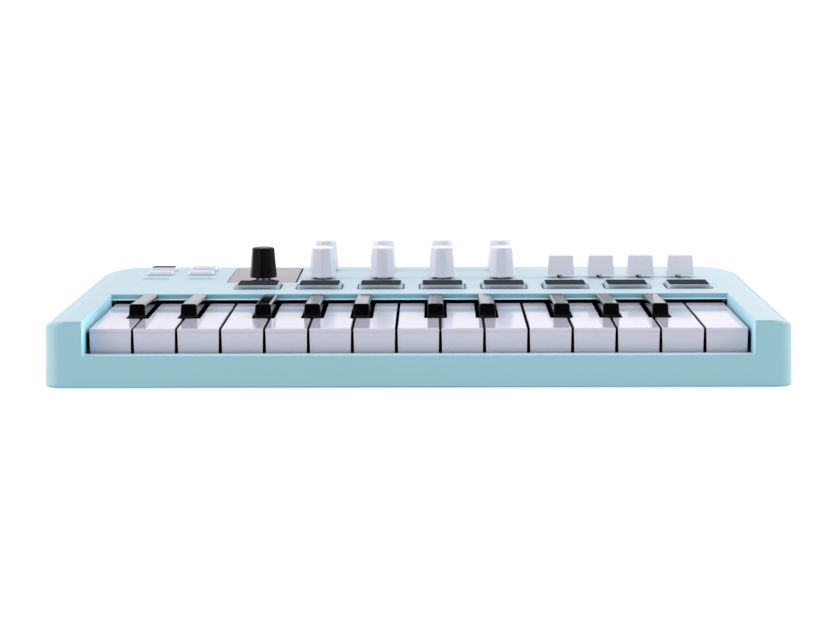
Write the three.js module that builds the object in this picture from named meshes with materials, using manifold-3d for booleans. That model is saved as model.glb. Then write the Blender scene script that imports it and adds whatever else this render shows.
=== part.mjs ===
// A compact 25-note keyboard controller: a moulded shell with a key well at the front and a flat
// control panel behind it. Millimetres. Body coordinates: X across (bass side negative), Y back
// from the front face, Z up from the underside of the bottom cover.
// The assembly is then moved so that the origin is the middle of the footprint on the desk.
import * as THREE from "three";
import { mergeVertices } from "three/addons/utils/BufferGeometryUtils.js";
import Module from "manifold-3d";

const wasm = await Module();
wasm.setup();

// ---- shared dimensions; a pair named _Y or _Z is a start and an end ----
const WIDTH = 356, DEPTH = 220, BODY_H = 32.1; // outer shell
const FOOT_H = 1.2; // rubber strip under the bottom cover
const WALL = 2.5, PANEL_T = 2.5;
const PANEL_UNDERSIDE = BODY_H - PANEL_T;
const R_FRONT = 8.5, R_REAR = 20; // vertical corner radii
const BELOW = -1, ABOVE = 60; // heights clear of the body, for cutters
const LAP = 0.1; // overlap between joined or cut solids

const KEY_PITCH = 21.014, KEYS_X = 0.15, N_WHITE = 15, KEY_GAP = 1.2;
const KEY_Y0 = 9.4, KEY_Y1 = 97.9, KEY_TOP = 27.2, KEY_BOTTOM = 16.5;
const PIVOT_Y = 128, PIVOT_Z = 18.5;

// Panel controls. Pads and knobs share columns; encoders fill columns 1 to 4 of both knob rows.
const COLUMN_X = Array.from({ length: 8 }, (_, i) => -85.2 + 32.455 * i);
const PAD_Y = 129, PAD_BASE = [23.6, 23.0], PAD_TOP = [20.9, 20.2];
const KNOB_FRONT_Y = 163.3, KNOB_REAR_Y = 201.5;
const SHAFT_R = 3;
const WINDOW_X = -84.85, WINDOW_W = 37.3, WINDOW_Y = [145.5, 210];
const WINDOW_MID_Y = (WINDOW_Y[0] + WINDOW_Y[1]) / 2, WINDOW_D = WINDOW_Y[1] - WINDOW_Y[0];
const FADER_X = [0, 1, 2, 3].map((i) => 76.9 + 21.65 * i);
const FADER_Y = 167.5, SLOT_Y = [161, 200.6];
const BUTTON_W = 13.9, BUTTON_D = 9.4;
const STRIP_X = [-143.8, -119.4], STRIP_W = 14.4, STRIP_Y = [120.5, 164.5], STRIP_RECESS = 0.7;
const BOARD_Z = [22.4, 24.0]; // control board

// Rear sockets: centre x and z
const USB = { x: -130, z: 12 }, MIDI = { x: -102, z: 14.5 }, PEDAL = { x: -74, z: 13.5 };

// All [x, y] pairs, row by row
const grid = (xs, ys) => ys.flatMap((y) => xs.map((x) => [x, y]));
const ENCODERS = grid(COLUMN_X.slice(1, 5), [KNOB_REAR_Y, KNOB_FRONT_Y]);
const SELECTOR = [COLUMN_X[0], KNOB_FRONT_Y];
const BUTTONS = grid([-143.6, -121.1], [182.4, 199.0]);

// ---- conversions between three.js geometry and closed solids ----
const toSolid = (geometry) => {
  const flat = geometry.index ? geometry.toNonIndexed() : geometry.clone();
  for (const name of Object.keys(flat.attributes)) {
    if (name !== "position") flat.deleteAttribute(name);
  }
  const merged = mergeVertices(flat, 1e-4);
  return new wasm.Manifold(new wasm.Mesh({
    numProp: 3,
    vertProperties: new Float32Array(merged.attributes.position.array),
    triVerts: new Uint32Array(merged.index.array),
  }));
};

const toGeometry = (solid) => {
  const mesh = solid.getMesh();
  const stride = mesh.numProp;
  const positions = new Float32Array(mesh.numVert * 3);
  for (let i = 0; i < mesh.numVert; i++) {
    positions.set(mesh.vertProperties.subarray(i * stride, i * stride + 3), i * 3);
  }
  const geometry = new THREE.BufferGeometry();
  geometry.setAttribute("position", new THREE.BufferAttribute(positions, 3));
  geometry.setIndex(new THREE.BufferAttribute(new Uint32Array(mesh.triVerts), 1));
  geometry.computeVertexNormals();
  return geometry;
};

const join = (parts) => parts.reduce((a, b) => a.add(b));
const cut = (body, cutters) => cutters.reduce((a, b) => a.subtract(b), body);

// ---- solids ----
const box = (x0, x1, y0, y1, z0, z1) => toSolid(
  new THREE.BoxGeometry(x1 - x0, y1 - y0, z1 - z0)
    .translate((x0 + x1) / 2, (y0 + y1) / 2, (z0 + z1) / 2));
// A box centred across X
const boxAt = (x, half, y0, y1, z0, z1) => box(x - half, x + half, y0, y1, z0, z1);

const toVectors = (points) => points.map(([a, b]) => new THREE.Vector2(a, b));
const extrude = (points, depth) => new THREE.ExtrudeGeometry(
  new THREE.Shape(toVectors(points)), { depth, bevelEnabled: false, curveSegments: 1 });
// Prisms along each axis; points are x, y for Z, y, z for X, and x, z for Y.
const prismZ = (points, z0, z1) => toSolid(extrude(points, z1 - z0).translate(0, 0, z0));
const prismX = (points, x0, x1) => {
  const turn = new THREE.Matrix4().set(0, 0, 1, x0, 1, 0, 0, 0, 0, 1, 0, 0, 0, 0, 0, 1);
  return toSolid(extrude(points, x1 - x0).applyMatrix4(turn));
};
const prismY = (points, y0, y1) => {
  const turn = new THREE.Matrix4().set(1, 0, 0, 0, 0, 0, -1, y1, 0, 1, 0, 0, 0, 0, 0, 1);
  return toSolid(extrude(points, y1 - y0).applyMatrix4(turn));
};

const cylinder = (r, length, segments) => new THREE.CylinderGeometry(r, r, length, segments);
const rodX = (y, z, r, x0, x1, segments) => toSolid(
  cylinder(r, x1 - x0, segments).rotateZ(Math.PI / 2).translate((x0 + x1) / 2, y, z));
const rodY = (x, z, r, y0, y1, segments) => toSolid(
  cylinder(r, y1 - y0, segments).translate(x, (y0 + y1) / 2, z));
const rodZ = (x, y, r, z0, z1, segments) => toSolid(
  cylinder(r, z1 - z0, segments).rotateX(Math.PI / 2).translate(x, y, (z0 + z1) / 2));
// The profile is r, z and starts and ends on the axis.
const lathe = (profile, segments) =>
  toSolid(new THREE.LatheGeometry(toVectors(profile), segments).rotateX(Math.PI / 2));

// Stacks [z, outline] rings with equal point counts into one closed skin.
const loft = (rings) => {
  const count = rings[0][1].length;
  const positions = rings.flatMap(([z, points]) => points.flatMap(([x, y]) => [x, y, z]));
  const index = [];
  for (let k = 0; k + 1 < rings.length; k++) {
    for (let i = 0; i < count; i++) {
      const a = k * count + i;
      const b = k * count + ((i + 1) % count);
      index.push(a, b, b + count, a, b + count, a + count);
    }
  }
  const cap = ([, points]) => THREE.ShapeUtils.triangulateShape(toVectors(points), []);
  const last = (rings.length - 1) * count;
  for (const [a, b, c] of cap(rings[0])) index.push(a, c, b);
  for (const [a, b, c] of cap(rings.at(-1))) index.push(last + a, last + b, last + c);
  const geometry = new THREE.BufferGeometry();
  geometry.setAttribute("position", new THREE.Float32BufferAttribute(positions, 3));
  geometry.setIndex(index);
  return toSolid(geometry);
};

// ---- outlines in x, y, counter-clockwise ----
// A quarter ellipse from a start angle in degrees
const quarter = (cx, cy, rx, ry, start, steps) =>
  Array.from({ length: steps + 1 }, (_, i) => {
    const angle = ((start + (90 * i) / steps) * Math.PI) / 180;
    return [cx + rx * Math.cos(angle), cy + ry * Math.sin(angle)];
  });

// One step per corner makes it a chamfer.
const roundRect = (x, y, width, depth, r, steps = 1) => {
  const dx = width / 2 - r, dy = depth / 2 - r;
  return [[1, 1, 0], [-1, 1, 90], [-1, -1, 180], [1, -1, 270]].flatMap(
    ([sx, sy, start]) => quarter(x + sx * dx, y + sy * dy, r, r, start, steps));
};

// The shell's plan outline with separate insets at the sides, rear and front
const shellOutline = (side, rear, front) => {
  const rearRx = Math.max(R_REAR - side * 0.7, 6), rearRy = Math.max(R_REAR - rear * 0.7, 6);
  const frontRx = Math.max(R_FRONT - side * 0.6, 2), frontRy = Math.max(R_FRONT - front, 2);
  const x = WIDTH / 2 - side;
  const rearY = DEPTH - rear - rearRy, frontY = front + frontRy; // corner centres
  return [
    ...quarter(x - rearRx, rearY, rearRx, rearRy, 0, 5),
    ...quarter(-x + rearRx, rearY, rearRx, rearRy, 90, 5),
    ...quarter(-x + frontRx, frontY, frontRx, frontRy, 180, 3),
    ...quarter(x - frontRx, frontY, frontRx, frontRy, 270, 3),
  ];
};
const evenOutline = (inset) => shellOutline(inset, inset, inset);

// ---- materials ----
const material = (settings) => new THREE.MeshStandardMaterial({ metalness: 0, ...settings });
const mint = material({ color: 0xaedbe0, roughness: 0.45 });
const whiteGloss = material({ color: 0xe6e6f0, roughness: 0.18 });
const blackGloss = material({ color: 0x16161a, roughness: 0.35 });
const blackPlastic = material({ color: 0x202124, roughness: 0.6 });
const knobWhite = material({ color: 0xdfe0ea, roughness: 0.5 });
const knobBlack = material({ color: 0x101114, roughness: 0.4 });
const padGrey = material({ color: 0x4a4449, roughness: 0.7 });
const silicone = material({ color: 0xdde4ec, roughness: 0.55 });
const glass = material({ color: 0x0b0b0d, roughness: 0.06 });
const boardGreen = material({ color: 0x1d4d33, roughness: 0.5 });
const rubber = material({ color: 0x1b1b1c, roughness: 0.9 });
const steel = material({ color: 0x9a9ca0, roughness: 0.35, metalness: 0.9 });

const assembly = new THREE.Group();
assembly.position.set(0, -DEPTH / 2, FOOT_H);
const add = (name, solid, finish, x = 0, y = 0, z = 0) => {
  const mesh = new THREE.Mesh(toGeometry(solid), finish);
  mesh.name = name;
  mesh.position.set(x, y, z);
  assembly.add(mesh);
};

// ---- top cover ----
// The walls lean in, then turn over a firm edge into a soft roll.
const SHELL_RINGS = [ // height, side inset, rear inset, front inset
  [1.3, 0.4, 0.4, 0.4], [1.9, 0, 0, 0], [28.8, 0.6, 0, 0], [29.45, 1.05, 0.18, 0],
  [30.6, 3.2, 1.0, 0], [31.55, 6.1, 2.2, 0.1], [32.1, 10.6, 4, 0.5],
];
const WELL_HALF = 158.9, WELL_BACK = 98.8, WELL_WALL = 2; // key well
const RAIL_Z = 15.5, RAIL_Y = 8.6; // rail in front of the keys
const LIP_Z = 28.6; // underside of the panel's front wall
const WINDOW_SEAT_Z = 30.1;
const PAD_GAP = 0.8, BUTTON_GAP = 0.7; // added to the cap size for its hole
const SHELL_POSTS = [ // x, y
  [-166, 112], [166, 112], [-167, 188], [167, 188],
  [60, 150], [-60, 150.5], [27.7, 203], [-36.5, 203],
];

// The inside of the shell, the key well and the opening for the key tails
const shellCavities = () => {
  const inner = evenOutline(WALL);
  const splitZ = RAIL_Z - WALL; // the cavity surrounds the walled well above this height
  const wellBackOut = WELL_BACK + WELL_WALL;
  const upper = loft([
    [splitZ - LAP, inner],
    [PANEL_UNDERSIDE - 3, inner],
    [PANEL_UNDERSIDE, shellOutline(WALL + 4, WALL + 2, WALL)],
  ]);
  return [
    prismZ(inner, BELOW, splitZ),
    cut(upper, [boxAt(0, WELL_HALF + WELL_WALL, -1, wellBackOut, 0, ABOVE)]),
    boxAt(0, WELL_HALF, RAIL_Y, WELL_BACK, BELOW, ABOVE),
    boxAt(0, WELL_HALF, -1, RAIL_Y + LAP, RAIL_Z, ABOVE),
    boxAt(0, WELL_HALF, WELL_BACK - LAP, wellBackOut + LAP, splitZ - LAP, LIP_Z),
  ];
};

const panelHoles = () => {
  const z0 = PANEL_UNDERSIDE - 1;
  const capHole = (x, y, [w, d], gap, r) => prismZ(roundRect(x, y, w + gap, d + gap, r), z0, ABOVE);
  const windowSeat = roundRect(WINDOW_X, WINDOW_MID_Y, WINDOW_W + 0.6, WINDOW_D + 0.6, 1.2);
  const stripRecess = (x) =>
    roundRect(x, (STRIP_Y[0] + STRIP_Y[1]) / 2, STRIP_W, STRIP_Y[1] - STRIP_Y[0], 2);
  return [
    ...COLUMN_X.map((x) => capHole(x, PAD_Y, PAD_BASE, PAD_GAP, 1.6)),
    ...ENCODERS.map(([x, y]) => rodZ(x, y, 4.3, z0, ABOVE, 12)),
    prismZ(windowSeat, WINDOW_SEAT_Z, ABOVE),
    boxAt(WINDOW_X, 16.5, WINDOW_Y[0] + 3, WINDOW_Y[1] - 3, z0, ABOVE),
    ...FADER_X.map((x) => boxAt(x, 1.5, ...SLOT_Y, z0, ABOVE)),
    ...BUTTONS.map(([x, y]) => capHole(x, y, [BUTTON_W, BUTTON_D], BUTTON_GAP, 1.2)),
    ...STRIP_X.map((x) => prismZ(stripRecess(x), BODY_H - STRIP_RECESS, ABOVE)),
  ];
};

// USB port, MIDI socket, pedal socket and a lock slot
const rearHoles = () => {
  const y0 = DEPTH - 4, y1 = DEPTH + 2;
  return [
    prismY(roundRect(USB.x, USB.z, 10.2, 4.6, 1.6), y0, y1),
    rodY(MIDI.x, MIDI.z, 8.4, y0, y1, 20),
    rodY(PEDAL.x, PEDAL.z, 5.4, y0, y1, 16),
    boxAt(132, 3.5, y0, y1, 10.5, 13.6),
  ];
};

const topCover = () => {
  const outer = loft(SHELL_RINGS.map(([z, ...insets]) => [z, shellOutline(...insets)]));
  const shell = cut(outer, [...shellCavities(), ...panelHoles(), ...rearHoles()]);
  const posts = SHELL_POSTS.map(([x, y]) =>
    rodZ(x, y, 2.8, BOARD_Z[1] + 0.3, PANEL_UNDERSIDE + 0.5, 6));
  return join([shell, ...posts]);
};
add("top_cover", topCover(), mint);

// ---- bottom cover: a rimmed plate that closes the shell ----
const bottomCover = () => {
  const rim = loft([[0, evenOutline(1.3)], [0.6, evenOutline(0.8)], [1.1, evenOutline(0.8)]]);
  const plate = prismZ(evenOutline(3), 1.0, 2.8);
  const posts = grid([-150, -50, 50, 150], [24, 116])
    .map(([x, y]) => rodZ(x, y, 3, 2.5, 3.3, 6));
  const screwRecesses = [...grid([-160, 160], [30, 112, 188]), [0, 112], [0, 188]]
    .map(([x, y]) => rodZ(x, y, 3.6, BELOW, 1.6, 10));
  return cut(join([rim, plate, ...posts]), screwRecesses);
};
add("bottom_cover", bottomCover(), mint);

// ---- rubber feet: long strips with a bevelled lower edge ----
const rubberFoot = () => {
  const full = roundRect(0, 0, 300, 9.6, 4.7, 3);
  return loft([
    [-FOOT_H, roundRect(0, 0, 299, 8.6, 4.2, 3)],
    [-FOOT_H + 0.5, full],
    [0, full],
  ]);
};
add("front_rubber_foot", rubberFoot(), rubber, 0, 14, 0);
add("rear_rubber_foot", rubberFoot(), rubber, 0, 202, 0);

// ---- keys ----
const KEY_HALF = (KEY_PITCH - KEY_GAP) / 2;
const LIP_BOTTOM = 14.6, LIP_T = 2; // lip hanging at a white key's front
const NOTCH_Y = 44.3, NOTCH_HALF = 5.5; // white keys' clearance around a black key
const KEY_WALL = 1.6, KEY_TOP_T = 1.8;
const BLACK_Y0 = 45.1, BLACK_HALF = 4.2, BLACK_TOP_HALF = 3.55;
const BLACK_TOP_FRONT = 34, BLACK_TOP_REAR = 32;
const BLACK_SHOULDER_Z = 32.9, BLACK_CROWN_Z = 34.1; // cross-section heights
const BLACK_WALL = 1.3, BLACK_HOLLOW_TOP = 30.4;
const SLOT_R = 1.9, SLOT_DIAGONAL = 1.4; // tail slot over the pivot rod
const TAIL_TOP = 21.5, TAIL_BOTTOM = 15, TAIL_END = 133, TAIL_CUT_Y = 140;
const WHITE_TAIL_HALF = 4, BLACK_TAIL_HALF = 3;
const POST_Y = [70, 74], POST_BOTTOM = 13.5; // post under each key

const NOTES = ["c", "d", "e", "f", "g", "a", "b"];
// By white index in the octave: the black key on its right, and its offset from the boundary
const OCTAVE_BLACKS = {
  0: ["c_sharp", -2.2], 1: ["d_sharp", 2.25],
  3: ["f_sharp", -3.15], 4: ["g_sharp", 0.1], 5: ["a_sharp", 3.3],
};
const boundaryX = (index) => (index - N_WHITE / 2) * KEY_PITCH + KEYS_X;

const blackKeys = [];
for (let boundary = 1; boundary < N_WHITE; boundary++) {
  const entry = OCTAVE_BLACKS[(boundary - 1) % 7];
  if (entry) blackKeys.push({ boundary, note: entry[0], x: boundaryX(boundary) + entry[1] });
}

// left, right and tail are measured from the key's own x; left and right bound its rear part.
const whiteKeys = Array.from({ length: N_WHITE }, (_, i) => {
  const x = boundaryX(i + 0.5);
  const blackLeft = blackKeys.find((key) => key.boundary === i);
  const blackRight = blackKeys.find((key) => key.boundary === i + 1);
  const left = blackLeft ? blackLeft.x + NOTCH_HALF - x : -KEY_HALF;
  const right = blackRight ? blackRight.x - NOTCH_HALF - x : KEY_HALF;
  return { x, note: NOTES[i % 7], left, right, tail: (left + right) / 2 };
});

// Side profile (y, z) of the tail, from the key's underside round to the tail's top
const TAIL_PROFILE = [
  [KEY_Y1, KEY_BOTTOM],
  [KEY_Y1, TAIL_BOTTOM],
  [PIVOT_Y - SLOT_R, TAIL_BOTTOM],
  [PIVOT_Y - SLOT_R, PIVOT_Z],
  [PIVOT_Y - SLOT_DIAGONAL, PIVOT_Z + SLOT_DIAGONAL],
  [PIVOT_Y, PIVOT_Z + SLOT_R],
  [PIVOT_Y + SLOT_DIAGONAL, PIVOT_Z + SLOT_DIAGONAL],
  [PIVOT_Y + SLOT_R, PIVOT_Z],
  [PIVOT_Y + SLOT_R, TAIL_BOTTOM],
  [TAIL_END, TAIL_BOTTOM],
  [TAIL_END, TAIL_TOP],
  [KEY_Y1, TAIL_TOP],
];
const WHITE_PROFILE = [
  [KEY_Y0, LIP_BOTTOM],
  [KEY_Y0 + LIP_T, LIP_BOTTOM],
  [KEY_Y0 + LIP_T, KEY_BOTTOM],
  ...TAIL_PROFILE,
  [KEY_Y1, KEY_TOP],
  [KEY_Y0 + 0.9, KEY_TOP],
  [KEY_Y0 + 0.25, KEY_TOP - 0.3],
  [KEY_Y0, KEY_TOP - 0.9],
];
const BLACK_PROFILE = [
  [BLACK_Y0, KEY_BOTTOM],
  ...TAIL_PROFILE,
  [KEY_Y1, BLACK_TOP_REAR],
  [BLACK_Y0 + 2.6, BLACK_TOP_FRONT],
  [BLACK_Y0 + 1.6, BLACK_TOP_FRONT - 0.35],
  [BLACK_Y0 + 1.0, BLACK_TOP_FRONT - 1.2],
  [BLACK_Y0, KEY_TOP],
];
const BLACK_SECTION_RIGHT = [ // x, z, upwards
  [BLACK_HALF, 10],
  [BLACK_HALF, KEY_TOP],
  [BLACK_TOP_HALF + 0.05, BLACK_SHOULDER_Z],
  [BLACK_TOP_HALF - 0.6, BLACK_CROWN_Z],
];
const BLACK_SECTION = [
  ...BLACK_SECTION_RIGHT,
  ...BLACK_SECTION_RIGHT.map(([x, z]) => [-x, z]).reverse(),
];

const whiteKey = ({ left, right, tail }) => {
  const shoulderY = KEY_Y1 + 0.5;
  const plan = [
    [-KEY_HALF, 0],
    [KEY_HALF, 0],
    [KEY_HALF, NOTCH_Y],
    [right, NOTCH_Y],
    [right, shoulderY],
    [tail + WHITE_TAIL_HALF, shoulderY],
    [tail + WHITE_TAIL_HALF, TAIL_CUT_Y],
    [tail - WHITE_TAIL_HALF, TAIL_CUT_Y],
    [tail - WHITE_TAIL_HALF, shoulderY],
    [left, shoulderY],
    [left, NOTCH_Y],
    [-KEY_HALF, NOTCH_Y],
  ].filter(([x, y], k, all) => // a side with no notch repeats a point
    k === 0 || Math.hypot(x - all[k - 1][0], y - all[k - 1][1]) > 1e-6);
  const body = prismX(WHITE_PROFILE, -KEY_HALF, KEY_HALF).intersect(prismZ(plan, 0, ABOVE));
  const frontEnd = NOTCH_Y - KEY_WALL, hollowTop = KEY_TOP - KEY_TOP_T;
  const hollows = [
    boxAt(0, KEY_HALF - KEY_WALL, KEY_Y0 + LIP_T, frontEnd, 0, hollowTop),
    box(left + KEY_WALL, right - KEY_WALL, frontEnd - LAP, KEY_Y1 - 2, 0, hollowTop),
  ];
  return cut(body, hollows).add(boxAt(tail, 1.5, ...POST_Y, POST_BOTTOM, KEY_TOP - 1.5));
};

const blackKey = () => {
  const head = prismY(BLACK_SECTION, 0, KEY_Y1 + 0.5);
  const tail = boxAt(0, BLACK_TAIL_HALF, KEY_Y1 + 0.4, TAIL_CUT_Y, 0, ABOVE);
  const body = prismX(BLACK_PROFILE, -BLACK_HALF, BLACK_HALF).intersect(head.add(tail));
  const hollow =
    boxAt(0, BLACK_HALF - BLACK_WALL, BLACK_Y0 + 2.2, KEY_Y1 - 2, 0, BLACK_HOLLOW_TOP);
  return cut(body, [hollow]).add(boxAt(0, 1.2, ...POST_Y, POST_BOTTOM, 30.8));
};

const addKeys = (kind, keys, build, finish) => keys.forEach((key, i) => {
  const number = String(i + 1).padStart(2, "0");
  add(`${kind}_key_${number}_${key.note}`, build(key), finish, key.x);
});
addKeys("white", whiteKeys, whiteKey, whiteGloss);
addKeys("black", blackKeys, blackKey, blackGloss);

// Every key's tail, from bass to treble
const tails = [
  ...whiteKeys.map(({ x, tail }) => ({ x: x + tail, half: WHITE_TAIL_HALF })),
  ...blackKeys.map(({ x }) => ({ x, half: BLACK_TAIL_HALF })),
].sort((a, b) => a.x - b.x);

// ---- keybed chassis: floor, rear wall, pivot rod, guide posts and hinge ribs ----
const keybedChassis = () => {
  const floorTop = 5.4, wallY = [135.5, 138];
  const ribX = [-156.2, 156.2];
  for (let i = 2; i + 1 < tails.length; i += 3) { // midway in every third gap between tails
    const next = tails[i + 1];
    ribX.push((tails[i].x + tails[i].half + next.x - next.half) / 2);
  }
  return join([
    boxAt(0, 157, 11, wallY[1], 3.6, floorTop),
    boxAt(0, 157, ...wallY, floorTop - LAP, 21.8),
    rodX(PIVOT_Y, PIVOT_Z, 1.5, -156.6, 156.6, 8),
    ...whiteKeys.map(({ x }) => boxAt(x, 1.6, 20, 25, floorTop - LAP, 12.5)),
    ...ribX.map((x) => boxAt(x, 0.6, 123.5, wallY[0] + LAP, floorTop - LAP, 20.4)),
  ]);
};
add("keybed_chassis", keybedChassis(), blackPlastic);

// ---- key contact board, with a rubber contact pad under each key ----
const keyContactBoard = () => {
  const boardTop = 7.1, padLimit = 149, padHalf = 2.2;
  const pads = tails.map(({ x }) => box(
    Math.max(x - padHalf, -padLimit), Math.min(x + padHalf, padLimit),
    67.5, 76.5, boardTop - LAP, 9.1));
  return join([boxAt(0, 150, 58, 86, 5.5, boardTop), ...pads]);
};
add("key_contact_board", keyContactBoard(), boardGreen);

// ---- control board: encoder bodies, fader bodies, touch sensors and the display module ----
const controlBoard = () => {
  const [z0, z1] = BOARD_Z;
  const partZ = z1 - LAP, boreTop = 40, bodyTop = 28.6;
  const knobs = [SELECTOR, ...ENCODERS];
  const parts = [
    boxAt(0, 171, 104, 206, z0, z1),
    box(-60, 62, 200, 208.5, z0, z1),
    ...knobs.map(([x, y]) => boxAt(x, 6, y - 6, y + 6, partZ, bodyTop)),
    ...FADER_X.map((x) => boxAt(x, 3.8, SLOT_Y[0] - 2, 203, partZ, bodyTop)),
    ...STRIP_X.map((x) => boxAt(x, 6, STRIP_Y[0] + 2, STRIP_Y[1] - 2, partZ, 29.2)),
    boxAt(WINDOW_X, 15, 176, 203, partZ, 30),
  ];
  const bores = [
    ...knobs.map(([x, y]) => rodZ(x, y, 3.6, z1 + 0.2, boreTop, 12)),
    ...FADER_X.map((x) => boxAt(x, 1.6, ...SLOT_Y, z1 + 0.3, boreTop)),
  ];
  return cut(join(parts), bores);
};
add("control_board", controlBoard(), boardGreen);

// ---- socket board at the rear wall, standing on two posts ----
const socketBoard = () => {
  const boardTop = 7, socketZ = boardTop - LAP, socketEnd = 217.2, boreEnd = 220;
  const parts = [
    box(-140, -60, 187, 216, 5.4, boardTop),
    boxAt(USB.x, 5, 209.5, socketEnd, socketZ, 14.1),
    boxAt(MIDI.x, 10, 207, socketEnd, socketZ, 24),
    boxAt(PEDAL.x, 7, 188.5, socketEnd, socketZ, 21),
    ...[-136, -64].map((x) => boxAt(x, 2, 190, 194, 2.8, 5.5)),
  ];
  return cut(join(parts), [
    prismY(roundRect(USB.x, USB.z, 9, 3.2, 1.2), 211, boreEnd),
    rodY(MIDI.x, MIDI.z, 7.4, 209, boreEnd, 20),
    rodY(PEDAL.x, PEDAL.z, 3.4, 190, boreEnd, 16),
  ]);
};
add("socket_board", socketBoard(), steel);

// ---- display window: one glossy sheet with a hole for the selector's shaft ----
const displayWindow = () => {
  const [x, y] = SELECTOR;
  const sheet = prismZ(roundRect(0, 0, WINDOW_W, WINDOW_D, 1), 30.4, 32);
  return cut(sheet, [rodZ(x - WINDOW_X, y - WINDOW_MID_Y, 4.2, 0, ABOVE, 16)]);
};
add("display_window", displayWindow(), glass, WINDOW_X, WINDOW_MID_Y);

// ---- knobs ----
const KNOB_Z0 = 33.5, KNOB_Z1 = 49.8, KNOB_R0 = 7.05, KNOB_R1 = 5.85;
const HUB_R = 4.4, HUB_Z0 = KNOB_Z0 + 1, HOLLOW_TOP = KNOB_Z0 + 11;
// Profile (r, z) from the hub's foot, up the hollow, down the skirt and up the outside
const KNOB_SKIRT = [
  [HUB_R, HUB_Z0],
  [HUB_R, HOLLOW_TOP],
  [KNOB_R1 - 1.2, HOLLOW_TOP],
  [KNOB_R0 - 1.5, KNOB_Z0],
  [KNOB_R0, KNOB_Z0],
  [KNOB_R1, KNOB_Z1 - 0.7],
  [KNOB_R1 - 0.5, KNOB_Z1],
  [0, KNOB_Z1],
];

// The shaft is one with the knob, and reaches down into the encoder on the board.
const encoderKnob = () => {
  const shaftZ = 24.5;
  return lathe([[0, shaftZ], [SHAFT_R, shaftZ], [SHAFT_R, HUB_Z0], ...KNOB_SKIRT], 16);
};
// Bored for a separate shaft
const selectorKnob = () => {
  const boreTop = KNOB_Z0 + 9.6, boreR = SHAFT_R + 0.35;
  return lathe([[0, boreTop], [boreR, boreTop], [boreR, HUB_Z0], ...KNOB_SKIRT], 16);
};
const selectorShaft = () => {
  const bottom = 25.2, top = KNOB_Z0 + 9.1, bevel = 0.5;
  return lathe([
    [0, bottom], [SHAFT_R, bottom], [SHAFT_R, top - bevel], [SHAFT_R - bevel, top], [0, top],
  ], 12);
};
ENCODERS.forEach(([x, y], i) => add(`encoder_knob_${i + 1}`, encoderKnob(), knobWhite, x, y));
add("selector_knob", selectorKnob(), knobBlack, ...SELECTOR);
add("selector_shaft", selectorShaft(), steel, ...SELECTOR);

// ---- fader caps, each with the lever it sits on ----
const faderCap = () => {
  const cap = loft([
    [33.7, roundRect(0, 0, 14.6, 8.9, 0.7, 2)],
    [43.85, roundRect(0, 0, 13.3, 7.5, 0.7, 2)],
    [44.3, roundRect(0, 0, 12.4, 6.6, 0.7, 2)],
  ]);
  const hollow = boxAt(0, 5.2, -2.6, 2.6, 30, 41.5);
  const lever = boxAt(0, 0.5, -1.8, 1.8, 25, 42.2);
  return join([cut(cap, [hollow]), lever]);
};
FADER_X.forEach((x, i) => add(`fader_cap_${i + 1}`, faderCap(), knobWhite, x, FADER_Y));

// ---- pads and buttons: a cap through the panel, a flange that keeps it in, a foot below ----
const CAP_TOP_Z = 34.1, CAP_BOTTOM_Z = 28.4;
// base and top are width, depth; flange is its overhang per side; foot is a half width.
const pressCap = ({ base, top, flange, r, foot }) => {
  const outline = ([w, d], grow) => roundRect(0, 0, w + grow, d + grow, r);
  return join([
    loft([
      [CAP_BOTTOM_Z, outline(base, 0)],
      [BODY_H + 0.3, outline(base, 0)],
      [CAP_TOP_Z - 0.15, outline(top, 0.15)],
      [CAP_TOP_Z, outline(top, -0.4)],
    ]),
    prismZ(outline(base, 2 * flange), CAP_BOTTOM_Z - LAP, 29.3),
    boxAt(0, foot, -foot, foot, 25.3, CAP_BOTTOM_Z),
  ]);
};
const PAD = { base: PAD_BASE, top: PAD_TOP, flange: 1.7, r: 1.4, foot: 5 };
const BUTTON = {
  base: [BUTTON_W, BUTTON_D], top: [BUTTON_W - 0.8, BUTTON_D - 0.8], flange: 1.3, r: 0.9, foot: 3,
};
COLUMN_X.forEach((x, i) => add(`pad_${i + 1}`, pressCap(PAD), padGrey, x, PAD_Y));
[
  ["octave_down", silicone], ["octave_up", silicone], ["shift", blackPlastic], ["hold", silicone],
].forEach(([name, finish], i) => add(`${name}_button`, pressCap(BUTTON), finish, ...BUTTONS[i]));

const keyboard = new THREE.Group();
keyboard.add(assembly);
export default keyboard;
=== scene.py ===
# A small keyboard controller: keys in an open well along the front, and behind them a panel
# with drum pads, knobs, faders, buttons, two touch strips and a display window. Sockets open
# through the rear face.
#
# Shapes are drawn in millimetres: X to the right, Y back from the front face, Z up from the
# underside of the bottom cover. world() turns them into the scene's metres.
from math import cos, sin, pi, radians, sqrt, exp, log
import bpy
import bmesh
from mathutils import Vector, Matrix

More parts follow.
